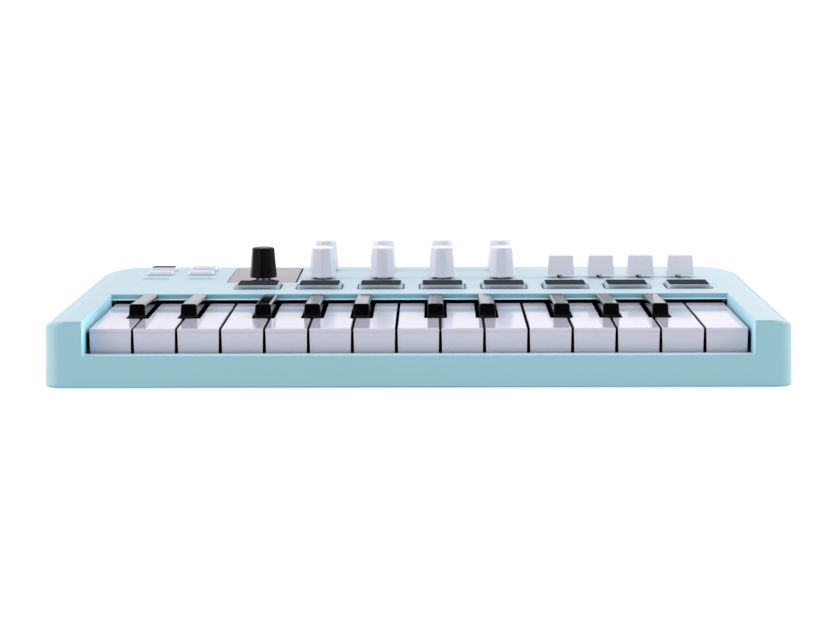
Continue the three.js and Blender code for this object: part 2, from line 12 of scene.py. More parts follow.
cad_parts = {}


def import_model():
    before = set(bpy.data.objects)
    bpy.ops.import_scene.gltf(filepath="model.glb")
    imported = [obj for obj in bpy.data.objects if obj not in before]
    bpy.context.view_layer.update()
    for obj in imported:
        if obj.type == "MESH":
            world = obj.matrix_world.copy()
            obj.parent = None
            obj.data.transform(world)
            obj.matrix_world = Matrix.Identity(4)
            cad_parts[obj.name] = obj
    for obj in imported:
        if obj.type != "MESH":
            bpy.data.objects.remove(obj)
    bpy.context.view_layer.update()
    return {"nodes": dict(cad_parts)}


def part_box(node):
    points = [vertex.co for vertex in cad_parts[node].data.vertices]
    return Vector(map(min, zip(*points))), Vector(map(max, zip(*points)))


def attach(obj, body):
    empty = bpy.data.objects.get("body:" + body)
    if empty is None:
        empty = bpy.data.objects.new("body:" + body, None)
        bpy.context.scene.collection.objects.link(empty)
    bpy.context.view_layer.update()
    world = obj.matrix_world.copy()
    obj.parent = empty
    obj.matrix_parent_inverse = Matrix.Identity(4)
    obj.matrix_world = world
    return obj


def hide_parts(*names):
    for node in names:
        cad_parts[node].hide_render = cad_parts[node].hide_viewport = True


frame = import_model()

SCENE = bpy.context.scene

# ------------------------------------------------------------------ driving dimensions
_cover, _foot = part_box("top_cover"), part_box("front_rubber_foot")
DEPTH = (_cover[1].y - _cover[0].y) * 1000
WIDTH = (_cover[1].x - _cover[0].x) * 1000
FOOT = (_foot[1].z - _foot[0].z) * 1000     # the feet lift the case by this much
TOP = _cover[1].z * 1000 - FOOT             # upper face of the panel
FRONT = _cover[0].y * 1000                  # scene Y of the front face


def scene_y(y):
    return (y + FRONT) * 0.001


def scene_z(z):
    return (z + FOOT) * 0.001


def world(p):
    return Vector((p[0] * 0.001, scene_y(p[1]), scene_z(p[2])))


def mm_box(node):
    low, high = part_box(node)
    return tuple((v.x * 1000, v.y * 1000 - FRONT, v.z * 1000 - FOOT) for v in (low, high))


def middle(node):
    return [(a + b) / 2 for a, b in zip(*mm_box(node))]


WALL = 2.5                      # case wall and panel thickness
WELL_WALL = 2.1                 # wall round the key well
WELL_X, WELL_REAR = 158.9, 98.8     # half width of the key well, and its rear end
RAIL_Z, RAIL_Y = 15.5, 8.6      # top and rear of the front rail
LIP_Z = 28.6                    # underside of the panel edge over the keys
KEY_FRONT, KEY_REAR = 9.4, 97.9
KEY_TOP, KEY_BOTTOM, FRONT_BOTTOM = 27.2, 16.5, 14.6
NOTCH_Y = 44.2                  # where white keys narrow beside the black ones
PIVOT_Y, PIVOT_Z, PIVOT_R = 128.0, 18.5, 1.9
TAIL_END, TAIL_TOP, TAIL_BOTTOM = 133.0, 21.5, 15.0
BUTTON_W, BUTTON_D = 13.9, 9.4

PAD_X = [middle("pad_%d" % (i + 1))[0] for i in range(8)]
PAD_Y = middle("pad_1")[1]
KNOB_X = PAD_X[1:5]
KNOB_ROWS = (middle("encoder_knob_5")[1], middle("encoder_knob_1")[1])
FADER_X = [middle("fader_cap_%d" % (i + 1))[0] for i in range(4)]
BUTTONS = {n: middle(n) for n in ("octave_down_button", "octave_up_button",
                                  "shift_button", "hold_button")}
BUTTON_MID_Y = sum(c[1] for c in BUTTONS.values()) / len(BUTTONS)
WINDOW_LOW, WINDOW_HIGH = mm_box("display_window")
WINDOW_X, WINDOW_Y = middle("display_window")[:2]
WINDOW_W, WINDOW_D = WINDOW_HIGH[0] - WINDOW_LOW[0], WINDOW_HIGH[1] - WINDOW_LOW[1]
SELECTOR_X, SELECTOR_Y = middle("selector_knob")[:2]
BLACK_KEYS = sorted(n for n in frame["nodes"] if n.startswith("black_key"))
WHITE_KEYS = sorted(n for n in frame["nodes"] if n.startswith("white_key"))
BLACK_X = [middle(n)[0] for n in BLACK_KEYS]

# centres in the rear face, as (x, z)
USB, MIDI, PEDAL, LOCK = (-130, 12), (-102, 14.5), (-74, 13.5), (132, 12.05)


def printed_lines():
    """Fine printed lines that tie the rows of controls together, as (y, x0, x1, width)."""
    line_y = KNOB_ROWS[0] + 1.2
    knob_gap, fader_gap, fine, bold = 9.5, 3.0, 0.9, 1.3
    lines = []
    for a, b in zip(KNOB_X[:-1], KNOB_X[1:]):
        lines.append((line_y, a + knob_gap, b - knob_gap, fine))
        lines.append((KNOB_ROWS[1] - 1.5, a + knob_gap, b - knob_gap, fine))
    lines.append((line_y, KNOB_X[3] + knob_gap, FADER_X[0] - 5.0, fine))
    for a, b in zip(FADER_X[:-1], FADER_X[1:]):
        lines.append((line_y, a + fader_gap, b - fader_gap, bold))
    lines.append((line_y, FADER_X[3] + fader_gap, FADER_X[3] + 9.0, bold))
    for x in PAD_X:
        lines.append((114.0, x - 0.5, x + 0.5, 0.8))
    return lines


# ------------------------------------------------------------------ shader arithmetic
def operator(kind, swap=False):
    def apply(a, b=None):
        return a.tree.math(kind, b, a) if swap else a.tree.math(kind, a, b)
    return apply


class Field:
    """A shader output. Each arithmetic operator on it adds one Math node."""
    def __init__(self, tree, socket):
        self.tree = tree
        self.socket = socket

    __add__ = operator("ADD")
    __radd__ = operator("ADD", swap=True)
    __sub__ = operator("SUBTRACT")
    __rsub__ = operator("SUBTRACT", swap=True)
    __mul__ = operator("MULTIPLY")
    __pow__ = operator("POWER")
    __gt__ = operator("GREATER_THAN")
    __lt__ = operator("LESS_THAN")
    __abs__ = operator("ABSOLUTE")
    maximum = operator("MAXIMUM")
    minimum = operator("MINIMUM")


class Tree:
    """A node tree and the main node it feeds."""
    def __init__(self, owner, main):
        owner.use_nodes = True
        self.owner = owner
        self.nodes = owner.node_tree.nodes
        self.links = owner.node_tree.links
        self.main = self.nodes[main]

    def put(self, value, target):
        if isinstance(value, Field):
            self.links.new(value.socket, target)
        else:
            target.default_value = (*value, 1) if target.type == "RGBA" else value

    def feed(self, **inputs):
        """Sets inputs of the main node; an underscore stands for a space."""
        for name, value in inputs.items():
            self.put(value, self.main.inputs[name.replace("_", " ")])

    def add(self, kind, inputs=None, output=0, **settings):
        """Adds a node and returns one of its outputs."""
        node = self.nodes.new("ShaderNode" + kind)
        for name, value in settings.items():
            setattr(node, name, value)
        for name, value in (inputs or {}).items():
            self.put(value, node.inputs[name])
        return Field(self, node.outputs[output])

    def math(self, kind, a, b=None, clamp=False):
        inputs = {0: a} if b is None else {0: a, 1: b}
        return self.add("Math", inputs, operation=kind, use_clamp=clamp)

    def split(self, vector):
        x = self.add("SeparateXYZ", {"Vector": vector})
        return [Field(self, s) for s in x.socket.node.outputs]

    def noise(self, position, scale, detail=3.0, roughness=0.55):
        return self.add("TexNoise", {"Scale": scale, "Detail": detail, "Roughness": roughness,
                                     "Vector": position}, "Fac")

    def ramp(self, value, stops):
        """stops are two (position, colour) pairs."""
        colour = self.add("ValToRGB", {0: value})
        elements = colour.socket.node.color_ramp.elements
        for element, (position, rgb) in zip(elements, stops):
            element.position = position
            element.color = (*rgb, 1)
        return colour

    def mix(self, factor, a, b):
        return self.add("Mix", {"Factor": factor, 6: a, 7: b}, 2, data_type="RGBA")

    def smooth(self, value, low, high, at_low, at_high):
        return self.add("MapRange", {"From Min": low, "From Max": high, "To Min": at_low,
                                     "To Max": at_high, "Value": value},
                        interpolation_type="SMOOTHSTEP")

    def band(self, value, centre, half, soft=0.00003):
        """1 within half of the centre, in metres."""
        return self.smooth(abs(value - centre), half - soft, half + soft, 1.0, 0.0)

    def step(self, value, off, on):
        """0 at off, 1 at on, smooth in between; off may lie above on."""
        if off < on:
            return self.smooth(value, off, on, 0.0, 1.0)
        return self.smooth(value, on, off, 1.0, 0.0)

    def openness(self, distance):
        return self.add("AmbientOcclusion", {"Distance": distance}, "AO", samples=6)

    def normal(self):
        return self.split(self.add("NewGeometry", output="Normal"))

    def bump(self, height, distance, strength=1.0):
        self.feed(Normal=self.add("Bump", {"Strength": strength, "Distance": distance,
                                           "Height": height}))


# ------------------------------------------------------------------ materials
def new_material(name):
    tree = Tree(bpy.data.materials.new(name), "Principled BSDF")
    tree.position = tree.add("TexCoord", output="Object")
    return tree


def plastic(name, colour, roughness=0.45, grain=0.35, grain_mm=0.28, bump_mm=0.006,
            vary=0.05, specular=0.5, mottling=0.02):
    """Moulded plastic: fine grain, slow drift in gloss and slight variation in the colour."""
    tree = new_material(name)
    fine = tree.noise(tree.position, scale=1000.0 / grain_mm / 2.2, detail=2.0, roughness=0.6)
    coarse = tree.noise(tree.position, scale=1000.0 / (grain_mm * 4.5), detail=3.0,
                        roughness=0.5)
    slow = tree.noise(tree.position, scale=22.0, detail=3.0, roughness=0.5)
    coarse_share = 0.25
    tree.bump(fine * grain + coarse * coarse_share, distance=bump_mm * 0.001)
    tree.roughness = (slow - 0.5) * (vary * 2) + ((coarse - 0.5) * vary + roughness)
    dark = tuple(c * (1 - mottling) for c in colour)
    light = tuple(min(1, c * (1 + mottling)) for c in colour)
    tree.colour = tree.ramp(slow, [(0.35, dark), (0.65, light)])
    tree.feed(Roughness=tree.roughness, Base_Color=tree.colour, Specular_IOR_Level=specular,
              Coat_Roughness=0.1)
    return tree


def mint(name):
    return plastic(name, (0.250, 0.468, 0.514), roughness=0.42, grain=0.5, grain_mm=0.30,
                   bump_mm=0.0022, vary=0.03, mottling=0.012)


# Colours painted on the mint plastic, place by place: all but the print are painted light and
# shade.
# painted light and shade: the lit colours of the key well's left and right walls, and their shade
WALL_LIT_LEFT, WALL_LIT_RIGHT = (0.49, 0.90, 1.00), (0.38, 0.68, 0.77)
WALL_SHADE = (0.006, 0.014, 0.024)
# painted sheen, mixed over the mint where the light glances off it
PAINTED_SHEEN = (0.86, 0.86, 0.87)
# painted light: a lit copy of the mint for the panel's front edge, and painted highlights for the
# ledge and the rail's top
PANEL_EDGE_LIT, LEDGE_HIGHLIGHT, RAIL_TOP_HIGHLIGHT = (0.26, 0.56, 0.66), (0.55, 0.88, 0.95), (0.56, 0.79, 0.84)
# painted shadow for the gap round the display window
POCKET_SHADE = (0.006, 0.006, 0.010)
PRINT = (0.07, 0.16, 0.19)


def well_walls(tree, colour, wall, x, y, z):
    """The side walls of the key well: a painted lit colour on each side, painted dark where a key
    stands close and takes the light.
    """
    key_top = mm_box("white_key_01_c")[1][2]
    low = tree.step(z, off=scene_z(key_top - 1.7), on=scene_z(key_top - 3.4))
    behind_rail = tree.step(y, off=scene_y(12.0), on=scene_y(14.5))
    closed = tree.step(tree.openness(distance=0.004), off=0.85, on=0.50)
    # painted light: each wall takes its lit colour; below, painted shade where a key stands close
    wall_colour = tree.mix(x > 0.0, WALL_LIT_LEFT, WALL_LIT_RIGHT)
    wall_colour = tree.mix(low * behind_rail * closed, wall_colour, WALL_SHADE)
    return tree.mix(wall, colour, wall_colour)


def printing(tree, colour):
    """Prints the fine lines on the panel's top."""
    x, y, z = tree.split(tree.position)
    on_top = tree.band(z, centre=scene_z(TOP), half=0.0002, soft=0.00005)
    soft, ink = 0.00004, 0.55   # edge softness, and how strongly the ink covers
    total = None
    for line_y, x0, x1, width in printed_lines():
        line = (tree.band(y, scene_y(line_y), width * 0.0005, soft)
                * tree.band(x, (x0 + x1) * 0.0005, (x1 - x0) * 0.0005, soft))
        total = line if total is None else total.maximum(line)
    return tree.mix(total * on_top * ink, colour, PRINT)


def mint_shell():
    tree = mint("mint_shell")
    normal_x, normal_y, normal_z = tree.normal()
    x, y, z = tree.split(tree.position)
    inside = (abs(x) < (WELL_X + 0.4) * 0.001) * (y < scene_y(WELL_REAR + 0.6))

    # the walls of the key well carry a coarser grain than the polished outside
    wall = inside * (abs(normal_x) > 0.7)
    wall_roughness = 0.30
    tree.feed(Roughness=tree.roughness + wall * wall_roughness)
    colour = well_walls(tree, tree.colour, wall, x, y, z)

    # painted sheen: the skin is painted paler at a low angle and where the corners turn towards
    # the sides
    facing = tree.add("LayerWeight", {"Blend": 0.5}, "Facing")
    low_view = tree.step(facing, off=0.60, on=0.88)
    outside = 1.0 - inside
    skim = tree.step(facing, off=0.915, on=0.955)
    flat = tree.step(normal_z, off=0.75, on=0.97) * low_view * (1.0 - skim)
    pale_left, pale_right = 0.12, 0.11          # on surfaces turned to either side
    pale_middle, pale_slope = 0.315, 0.26       # on flat tops, and its gain per metre of X
    turned = (tree.step(normal_x, off=-0.05, on=-0.55) * pale_left
              + tree.step(normal_x, off=0.35, on=0.90) * pale_right)
    pale = (flat * (x * pale_slope + pale_middle)).maximum(turned) * outside
    colour = tree.mix(pale, colour, PAINTED_SHEEN)

    # the fine grain shades itself when seen almost edge on, so the shine drops off there
    full_shine, shine_loss = 0.5, 0.85
    tree.feed(Specular_IOR_Level=(1.0 - skim * shine_loss) * full_shine)

    # painted light: the panel's front edge over the keys takes a lit, bluer copy of the mint, and
    # the ledge at its foot a painted highlight
    edge = inside * (y > scene_y(WELL_REAR - 1.0)) * (normal_y < -0.5)
    colour = tree.mix(edge, colour, PANEL_EDGE_LIT)
    colour = tree.mix(edge * (z < scene_z(29.75)), colour, LEDGE_HIGHLIGHT)

    # painted highlight: the flat top of the front rail is painted bright when seen at a low angle
    rail = inside * (y < scene_y(RAIL_Y + 0.3)) * (normal_z > 0.55)
    rail = rail * (z < scene_z(RAIL_Z + 0.2))
    colour = tree.mix(rail * low_view, colour, RAIL_TOP_HIGHLIGHT)

    # painted shade: the pocket round the display window is painted black, standing in for the
    # shadow in the gap round the window
    margin = 0.0009
    pocket = (tree.band(x, WINDOW_X * 0.001, WINDOW_W * 0.0005 + margin)
              * tree.band(y, scene_y(WINDOW_Y), WINDOW_D * 0.0005 + margin))
    pocket = pocket * (z < scene_z(TOP - 0.28))
    colour = tree.mix(pocket, colour, POCKET_SHADE)
    tree.feed(Base_Color=printing(tree, colour))
    return tree.owner


def white_key_gloss():
    tree = plastic("white_key_gloss", (0.561, 0.566, 0.649), roughness=0.07, grain=0.12,
                   grain_mm=0.6, bump_mm=0.0006, vary=0.02, mottling=0.008)
    # the fronts of the end keys stand in the shade of the well's walls and take their colour
    front = tree.normal()[1] < -0.6
    x = tree.split(tree.position)[0]
    right_share = 0.3
    near = tree.math("ADD", tree.step(x, off=-0.141, on=-0.161),
                     tree.step(x, off=0.147, on=0.163) * right_share, clamp=True)
    wall_tint, gap_dark = (0.393, 0.458, 0.571), (0.010, 0.010, 0.016)
    colour = tree.mix(front * near, tree.colour, wall_tint)
    # light gets lost in the narrow gaps
    is_open = tree.step(tree.openness(distance=0.0045), off=0.08, on=0.62)
    tree.feed(Base_Color=tree.mix(is_open, gap_dark, colour))
    return tree.owner


def silicone(name, light, dark, roughness=0.45):
    """Frosted silicone that lets light through; the mesh's depth attribute holds painted light
    and shade and mixes its colour from light to dark.
    """
    tree = plastic(name, light, roughness=roughness, grain=0.5, grain_mm=0.3)
    depth = tree.add("Attribute", output="Fac", attribute_name="depth")
    tree.feed(Base_Color=tree.mix(depth, tree.colour, dark), Subsurface_Weight=0.35,
              Subsurface_Radius=(0.0018, 0.0020, 0.0024), Subsurface_Scale=1.0)
    return tree.owner


def metal(name, colour, roughness):
    tree = new_material(name)
    stretched = tree.add("Mapping", {"Scale": (900, 900, 90), "Vector": tree.position})
    brushing = tree.noise(stretched, scale=1.0, detail=3, roughness=0.6)
    stains = tree.noise(tree.position, scale=260, detail=3, roughness=0.6)
    brush_gloss, stain_gloss = 0.12, 0.10       # how far each drives the roughness
    dark = tuple(c * 0.9 for c in colour)
    tree.feed(Roughness=brushing * brush_gloss + (stains * stain_gloss + (roughness - 0.1)),
              Base_Color=tree.ramp(stains, [(0.3, dark), (0.7, colour)]), Metallic=1.0)
    tree.bump(brushing, distance=0.00001, strength=0.3)
    return tree.owner


def circuit_board():
    tree = new_material("circuit_board")
    edge = tree.add("TexVoronoi", {"Scale": 170, "Vector": tree.position}, "Distance",
                    feature="DISTANCE_TO_EDGE")
    track_width, track_share, track_colour = 0.05, 0.6, (0.035, 0.060, 0.050)
    track = edge < track_width
    base = tree.ramp(tree.noise(tree.position, scale=60),
                     [(0.3, (0.010, 0.018, 0.016)), (0.7, (0.016, 0.030, 0.026))])
    tree.feed(Base_Color=tree.mix(track * track_share, base, track_colour), Roughness=0.38)
    tree.bump(track, distance=0.00003, strength=0.5)
    return tree.owner


def window_gloss():
    tree = new_material("window_gloss")
    x, y, _ = tree.split(tree.position)
    screen_colour = (0.060, 0.050, 0.058)
    screen = (tree.band(x, centre=WINDOW_X * 0.001, half=0.0137, soft=0.0002)
              * tree.band(y, centre=scene_y(190.0), half=0.0092, soft=0.0002))
    cloud = tree.noise(tree.position, scale=35, detail=2)
    base = tree.ramp(cloud, [(0.3, (0.018, 0.008, 0.013)), (0.7, (0.022, 0.011, 0.016))])
    least_rough, rough_drift = 0.045, 0.03
    tree.feed(Base_Color=tree.mix(screen, base, screen_colour),
              Roughness=cloud * rough_drift + least_rough, Specular_IOR_Level=0.31)
    tree.bump(tree.noise(tree.position, scale=900, detail=2), distance=0.000002,
              strength=0.15)
    return tree.owner


M_SHELL = mint_shell()
M_BASE = mint("mint_shell_base").owner
M_WHITE_KEY = white_key_gloss()
M_BLACK_KEY = plastic("black_key_satin", (0.0012, 0.0012, 0.0018), roughness=0.085, grain=0.3,
                      grain_mm=0.45, bump_mm=0.0004, vary=0.02, specular=0.20,
                      mottling=0.1).owner
M_KNOB = plastic("white_knob_plastic", (0.762, 0.757, 0.820), roughness=0.40, grain=0.3,
                 grain_mm=0.25, bump_mm=0.003, vary=0.04, mottling=0.01).owner
# painted light: a brighter copy of the white knob plastic for the rear knobs and the fader caps
M_LIT_CAP = plastic("white_cap_plastic_painted_light", (0.835, 0.820, 0.870), roughness=0.40, grain=0.3,
                grain_mm=0.25, bump_mm=0.003, vary=0.04, mottling=0.01).owner
M_BLACK_KNOB = plastic("black_knob_plastic", (0.0010, 0.0010, 0.0014), roughness=0.22,
                       grain=0.3, grain_mm=0.25, bump_mm=0.002, vary=0.04, specular=0.10,
                       mottling=0.1).owner
M_BLACK = plastic("black_moulded_plastic", (0.014, 0.014, 0.016), roughness=0.55, grain=0.5,
                  grain_mm=0.35, vary=0.06, specular=0.3, mottling=0.1).owner
M_RUBBER = plastic("foot_rubber", (0.020, 0.020, 0.021), roughness=0.82, grain=0.8,
                   grain_mm=0.5, bump_mm=0.03, mottling=0.1).owner
M_PAD_TOP = plastic("pad_top_coating", (0.0155, 0.0135, 0.0195), roughness=0.70, grain=0.5,
                    grain_mm=0.35, specular=0.05, mottling=0.06).owner
M_BLACK_BUTTON = plastic("black_button_silicone", (0.020, 0.018, 0.022), roughness=0.55,
                         grain=0.4, grain_mm=0.3, specular=0.12, mottling=0.08).owner
# painted light and shade: the pads' skirts darken towards their foot, and the buttons' dark
# colour is the lighter one, painted on their sides
M_SKIRT = silicone("pad_skirt_silicone", light=(0.400, 0.520, 0.640),
                   dark=(0.020, 0.048, 0.075))
M_BUTTON = silicone("button_silicone", light=(0.530, 0.550, 0.620),
                    dark=(0.790, 0.830, 0.890), roughness=0.35)
M_STEEL = metal("plated_steel", (0.62, 0.62, 0.64), roughness=0.28)
M_HUB = metal("shaft_steel", (0.66, 0.70, 0.74), roughness=0.22)
M_SCREW = metal("screw_steel", (0.18, 0.18, 0.19), roughness=0.35)
M_GOLD = metal("contact_gold", (0.83, 0.62, 0.28), roughness=0.25)
M_BOARD = circuit_board()
M_WINDOW = window_gloss()


# ------------------------------------------------------------------ outlines and rings
# An outline is a list of 2-D points, a ring a list of 3-D points, and a loft a list of rings.
def clamp(v):
    return max(0.0, min(1.0, v))


def corners(x0, x1, y0, y1):
    return [(x0, y0), (x1, y0), (x1, y1), (x0, y1)]


def circle(x, y, radius, count=48):
    return [(x + radius * cos(2 * pi * i / count), y + radius * sin(2 * pi * i / count))
            for i in range(count)]


def round_rect(x, y, width, depth, radius, steps=6):
    """A rounded rectangle centred on x, y."""
    out = []
    r = min(radius, width / 2 - 1e-3, depth / 2 - 1e-3)
    for side_x, side_y, start in ((1, 1, 0), (-1, 1, 90), (-1, -1, 180), (1, -1, 270)):
        for i in range(steps + 1):
            a = radians(start + 90 * i / steps)
            out.append((x + side_x * (width / 2 - r) + r * cos(a),
                        y + side_y * (depth / 2 - r) + r * sin(a)))
    return out


def fine_round_rect(x, y, width, depth, radius, steps=6, extra=5):
    """A rounded rectangle with extra points on each straight side."""
    base, out = round_rect(x, y, width, depth, radius, steps), []
    for k in range(4):
        corner = base[k * (steps + 1):(k + 1) * (steps + 1)]
        (x0, y0), (x1, y1) = corner[-1], base[((k + 1) * (steps + 1)) % len(base)]
        out += corner
        for i in range(1, extra + 1):
            t = i / (extra + 1)
            out.append((x0 + (x1 - x0) * t, y0 + (y1 - y0) * t))
    return out


def growing_rect(x, y, width, depth, radius, steps=6):
    return lambda grow: round_rect(x, y, width + 2 * grow, depth + 2 * grow, radius + grow,
                                   steps)


def growing_circle(x, y, radius, count):
    return lambda grow: circle(x, y, radius + grow, count)


def level(outline, z):
    return [(x, y, z) for x, y in outline]


def upright(outline, y):
    """Stands an (x, z) outline across the Y axis."""
    return [(x, y, z) for x, z in outline]


def column(outline, z0, z1):
    return [level(outline, z) for z in (z0, z1)]


def box(x0, x1, y0, y1, z0, z1):
    return column(corners(x0, x1, y0, y1), z0, z1)


def prism_x(outline, x0, x1):
    """Extrudes a (y, z) outline along X."""
    return [[(x, y, z) for y, z in outline] for x in (x0, x1)]


def tube(centre, stations, count):
    """Circles along Y from (radius, y) stations."""
    return [upright(circle(*centre, r, count), y) for r, y in stations]


def flare(start, face, radius, spread):
    """(grow, level) stations of a cutter whose mouth rounds outwards as it meets a face."""
    out = [(0, start)]
    for i in range(5):
        a = radians(78 * i / 4)
        out.append((radius - radius * cos(a), face - radius + radius * sin(a)))
    out.append((out[-1][0] + spread, face + 0.6))
    return out


def panel_opening(outline, radius, bottom=TOP - 4):
    return [level(outline(grow), z) for grow, z in flare(bottom, TOP, radius, 0.72)]


def rear_opening(outline, radius):
    return [upright(outline(grow), y) for grow, y in flare(DEPTH - 4.0, DEPTH, radius, 0.7)]


# ------------------------------------------------------------------ mesh tools
def add_bands(draft, rings, slots=None, closed=False):
    """Skins rings of equal length; closed joins the last one to the first."""
    loops = [[draft.verts.new(p) for p in ring] for ring in rings]
    count = len(rings[0])
    following = loops[1:] + (loops[:1] if closed else [])
    for band, (low, high) in enumerate(zip(loops, following)):
        for i in range(count):
            j = (i + 1) % count
            face = draft.faces.new((low[i], low[j], high[j], high[i]))
            if slots:
                face.material_index = slots[band + 1]
    return loops


def add_loft(draft, rings, slots=None):
    """Skins rings and closes both ends. slots: first cap, each band, last cap."""
    loops = add_bands(draft, rings, slots)
    first = draft.faces.new(list(reversed(loops[0])))
    last = draft.faces.new(loops[-1])
    if slots:
        first.material_index, last.material_index = slots[0], slots[-1]
    return loops


def add_lathe(draft, profile, x, y, count):
    """profile is (radius, z), starting and ending at radius 0."""
    loops = add_bands(draft, [level(circle(x, y, r, count), z) for r, z in profile[1:-1]])
    for (_, z), ring, is_first in ((profile[0], loops[0], True), (profile[-1], loops[-1], False)):
        tip = draft.verts.new((x, y, z))
        for i in range(count):
            j = (i + 1) % count
            draft.faces.new((tip, ring[j], ring[i]) if is_first else (tip, ring[i], ring[j]))


def object_from(draft, name, materials):
    bmesh.ops.recalc_face_normals(draft, faces=draft.faces)
    for v in draft.verts:
        v.co = world(v.co)
    mesh = bpy.data.meshes.new(name)
    draft.to_mesh(mesh)
    draft.free()
    for material in materials:
        mesh.materials.append(material)
    piece = bpy.data.objects.new(name, mesh)
    SCENE.collection.objects.link(piece)
    return piece


def make(name, materials, *lofts, slots=None):
    draft = bmesh.new()
    for rings in lofts:
        add_loft(draft, rings, slots)
    return object_from(draft, name, materials)


def cut(piece, *lofts, operation="DIFFERENCE", use_self=False):
    tool = make(piece.name + "_tool", [], *lofts)
    modifier = piece.modifiers.new("b", "BOOLEAN")
    modifier.operation = operation
    modifier.solver = "EXACT"
    modifier.use_self = use_self
    modifier.object = tool
    depsgraph = bpy.context.evaluated_depsgraph_get()
    mesh = bpy.data.meshes.new_from_object(piece.evaluated_get(depsgraph))
    piece.modifiers.clear()
    old_mesh, tool_mesh = piece.data, tool.data
    piece.data = mesh
    bpy.data.meshes.remove(old_mesh)
    bpy.data.objects.remove(tool)
    bpy.data.meshes.remove(tool_mesh)


def join(piece, *lofts):
    cut(piece, *lofts, operation="UNION")


def shade(piece, sharp):
    """Smooth shading that stays crisp over edges sharper than the given degrees."""
    draft = bmesh.new()
    draft.from_mesh(piece.data)
    bmesh.ops.remove_doubles(draft, verts=draft.verts, dist=2e-7)
    bmesh.ops.dissolve_degenerate(draft, edges=draft.edges, dist=1e-7)
    for face in draft.faces:
        face.smooth = True
    limit = radians(sharp)
    for edge in draft.edges:
        edge.smooth = len(edge.link_faces) != 2 or edge.calc_face_angle(0) < limit
    draft.to_mesh(piece.data)
    draft.free()
    modifier = piece.modifiers.new("weighted", "WEIGHTED_NORMAL")
    modifier.mode = "FACE_AREA"
    modifier.weight = 60
    modifier.keep_sharp = True


def finish(piece, body="chassis", replaces=(), sharp=35):
    shade(piece, sharp)
    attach(piece, body)
    if replaces:
        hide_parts(*replaces)


def store_painted_shading(piece, depth):
    """Stores depth(x, y, z), taken in millimetres, on every vertex, as the silicone's painted
    light and shade.
    """
    attribute = piece.data.attributes.new("depth", "FLOAT", "POINT")
    values = [depth(v.co.x * 1000, v.co.y * 1000 - FRONT, v.co.z * 1000 - FOOT)
              for v in piece.data.vertices]
    attribute.data.foreach_set("value", values)


# ------------------------------------------------------------------ top cover
def shell_ring(side, rear, front, z, rear_steps=14, front_steps=12):
    """Plan of the case with its sides, rear and front set in, from the right rear corner."""
    half, rear_y = WIDTH / 2 - side, DEPTH - rear
    rear_rx, rear_ry = max(20 - side * 0.7, 6), max(20 - rear * 0.7, 6)
    front_rx, front_ry = max(8.5 - side * 0.6, 2), max(8.5 - front, 2)
    out = []
    for sign, y, radius_x, radius_y, start, steps in (
            (1, rear_y - rear_ry, rear_rx, rear_ry, 0, rear_steps),
            (-1, rear_y - rear_ry, rear_rx, rear_ry, 90, rear_steps),
            (-1, front + front_ry, front_rx, front_ry, 180, front_steps),
            (1, front + front_ry, front_rx, front_ry, 270, front_steps)):
        x = sign * (half - radius_x)
        for i in range(steps + 1):
            a = radians(start + 90 * i / steps)
            out.append((x + radius_x * cos(a), y + radius_y * sin(a), z))
    return out


# lower walls: inset of the sides, inset of rear and front, z
COVER_WALLS = [(0.3, 0.3, 0.75), (0.1, 0.1, 0.83), (0, 0, 1.0), (0.3, 0, 15.0),
               (0.51, 0, 25.0)]
# roll over the top edge: distance inwards, distance below the top
COVER_ROLL = [(0, 3.30), (0.04, 3.12), (0.14, 2.95), (0.30, 2.80), (0.52, 2.64),
              (0.9, 2.42), (1.5, 2.08), (2.3, 1.70), (3.3, 1.28), (4.4, 0.90),
              (5.6, 0.57), (6.8, 0.31), (8.0, 0.13), (9.0, 0.04), (10.0, 0.0)]


def cover_body():
    lean, rear_share, front_round = 0.6, 0.4, 0.6
    rings = [shell_ring(side, ends, ends, z) for side, ends, z in COVER_WALLS]
    for inward, drop in COVER_ROLL:
        rise = max(0.0, front_round - drop)
        front = front_round - sqrt(front_round * front_round - rise * rise)
        rings.append(shell_ring(lean + inward, rear_share * inward, front, TOP - drop))
    return make("top_cover_shell", [M_SHELL], rings)


def hollow_cover(cover):
    inner = [(x, y) for x, y, _ in shell_ring(WALL, WALL, WALL, 0, 8, 5)]
    half = max(x for x, y in inner)
    cut(cover, column(inner, -1, RAIL_Z - WALL))
    # the upper hollow wraps round the well: the rear field and an arm on either side
    arm_front, arm_x, field_y = 12.0, WELL_X + WELL_WALL, WELL_REAR + WELL_WALL
    plan = [p for p in inner if p[1] > 60]
    plan += [(-half, arm_front), (-arm_x, arm_front), (-arm_x, field_y),
             (arm_x, field_y), (arm_x, arm_front), (half, arm_front)]
    cut(cover, column(plan, RAIL_Z - 2.6, TOP - 4.6))
    field_rear = DEPTH - 7.0
    plan = round_rect(0, (field_y + field_rear) / 2, 2 * (half - 7.5), field_rear - field_y, 12)
    cut(cover, column(plan, TOP - 4.7, TOP - WALL))


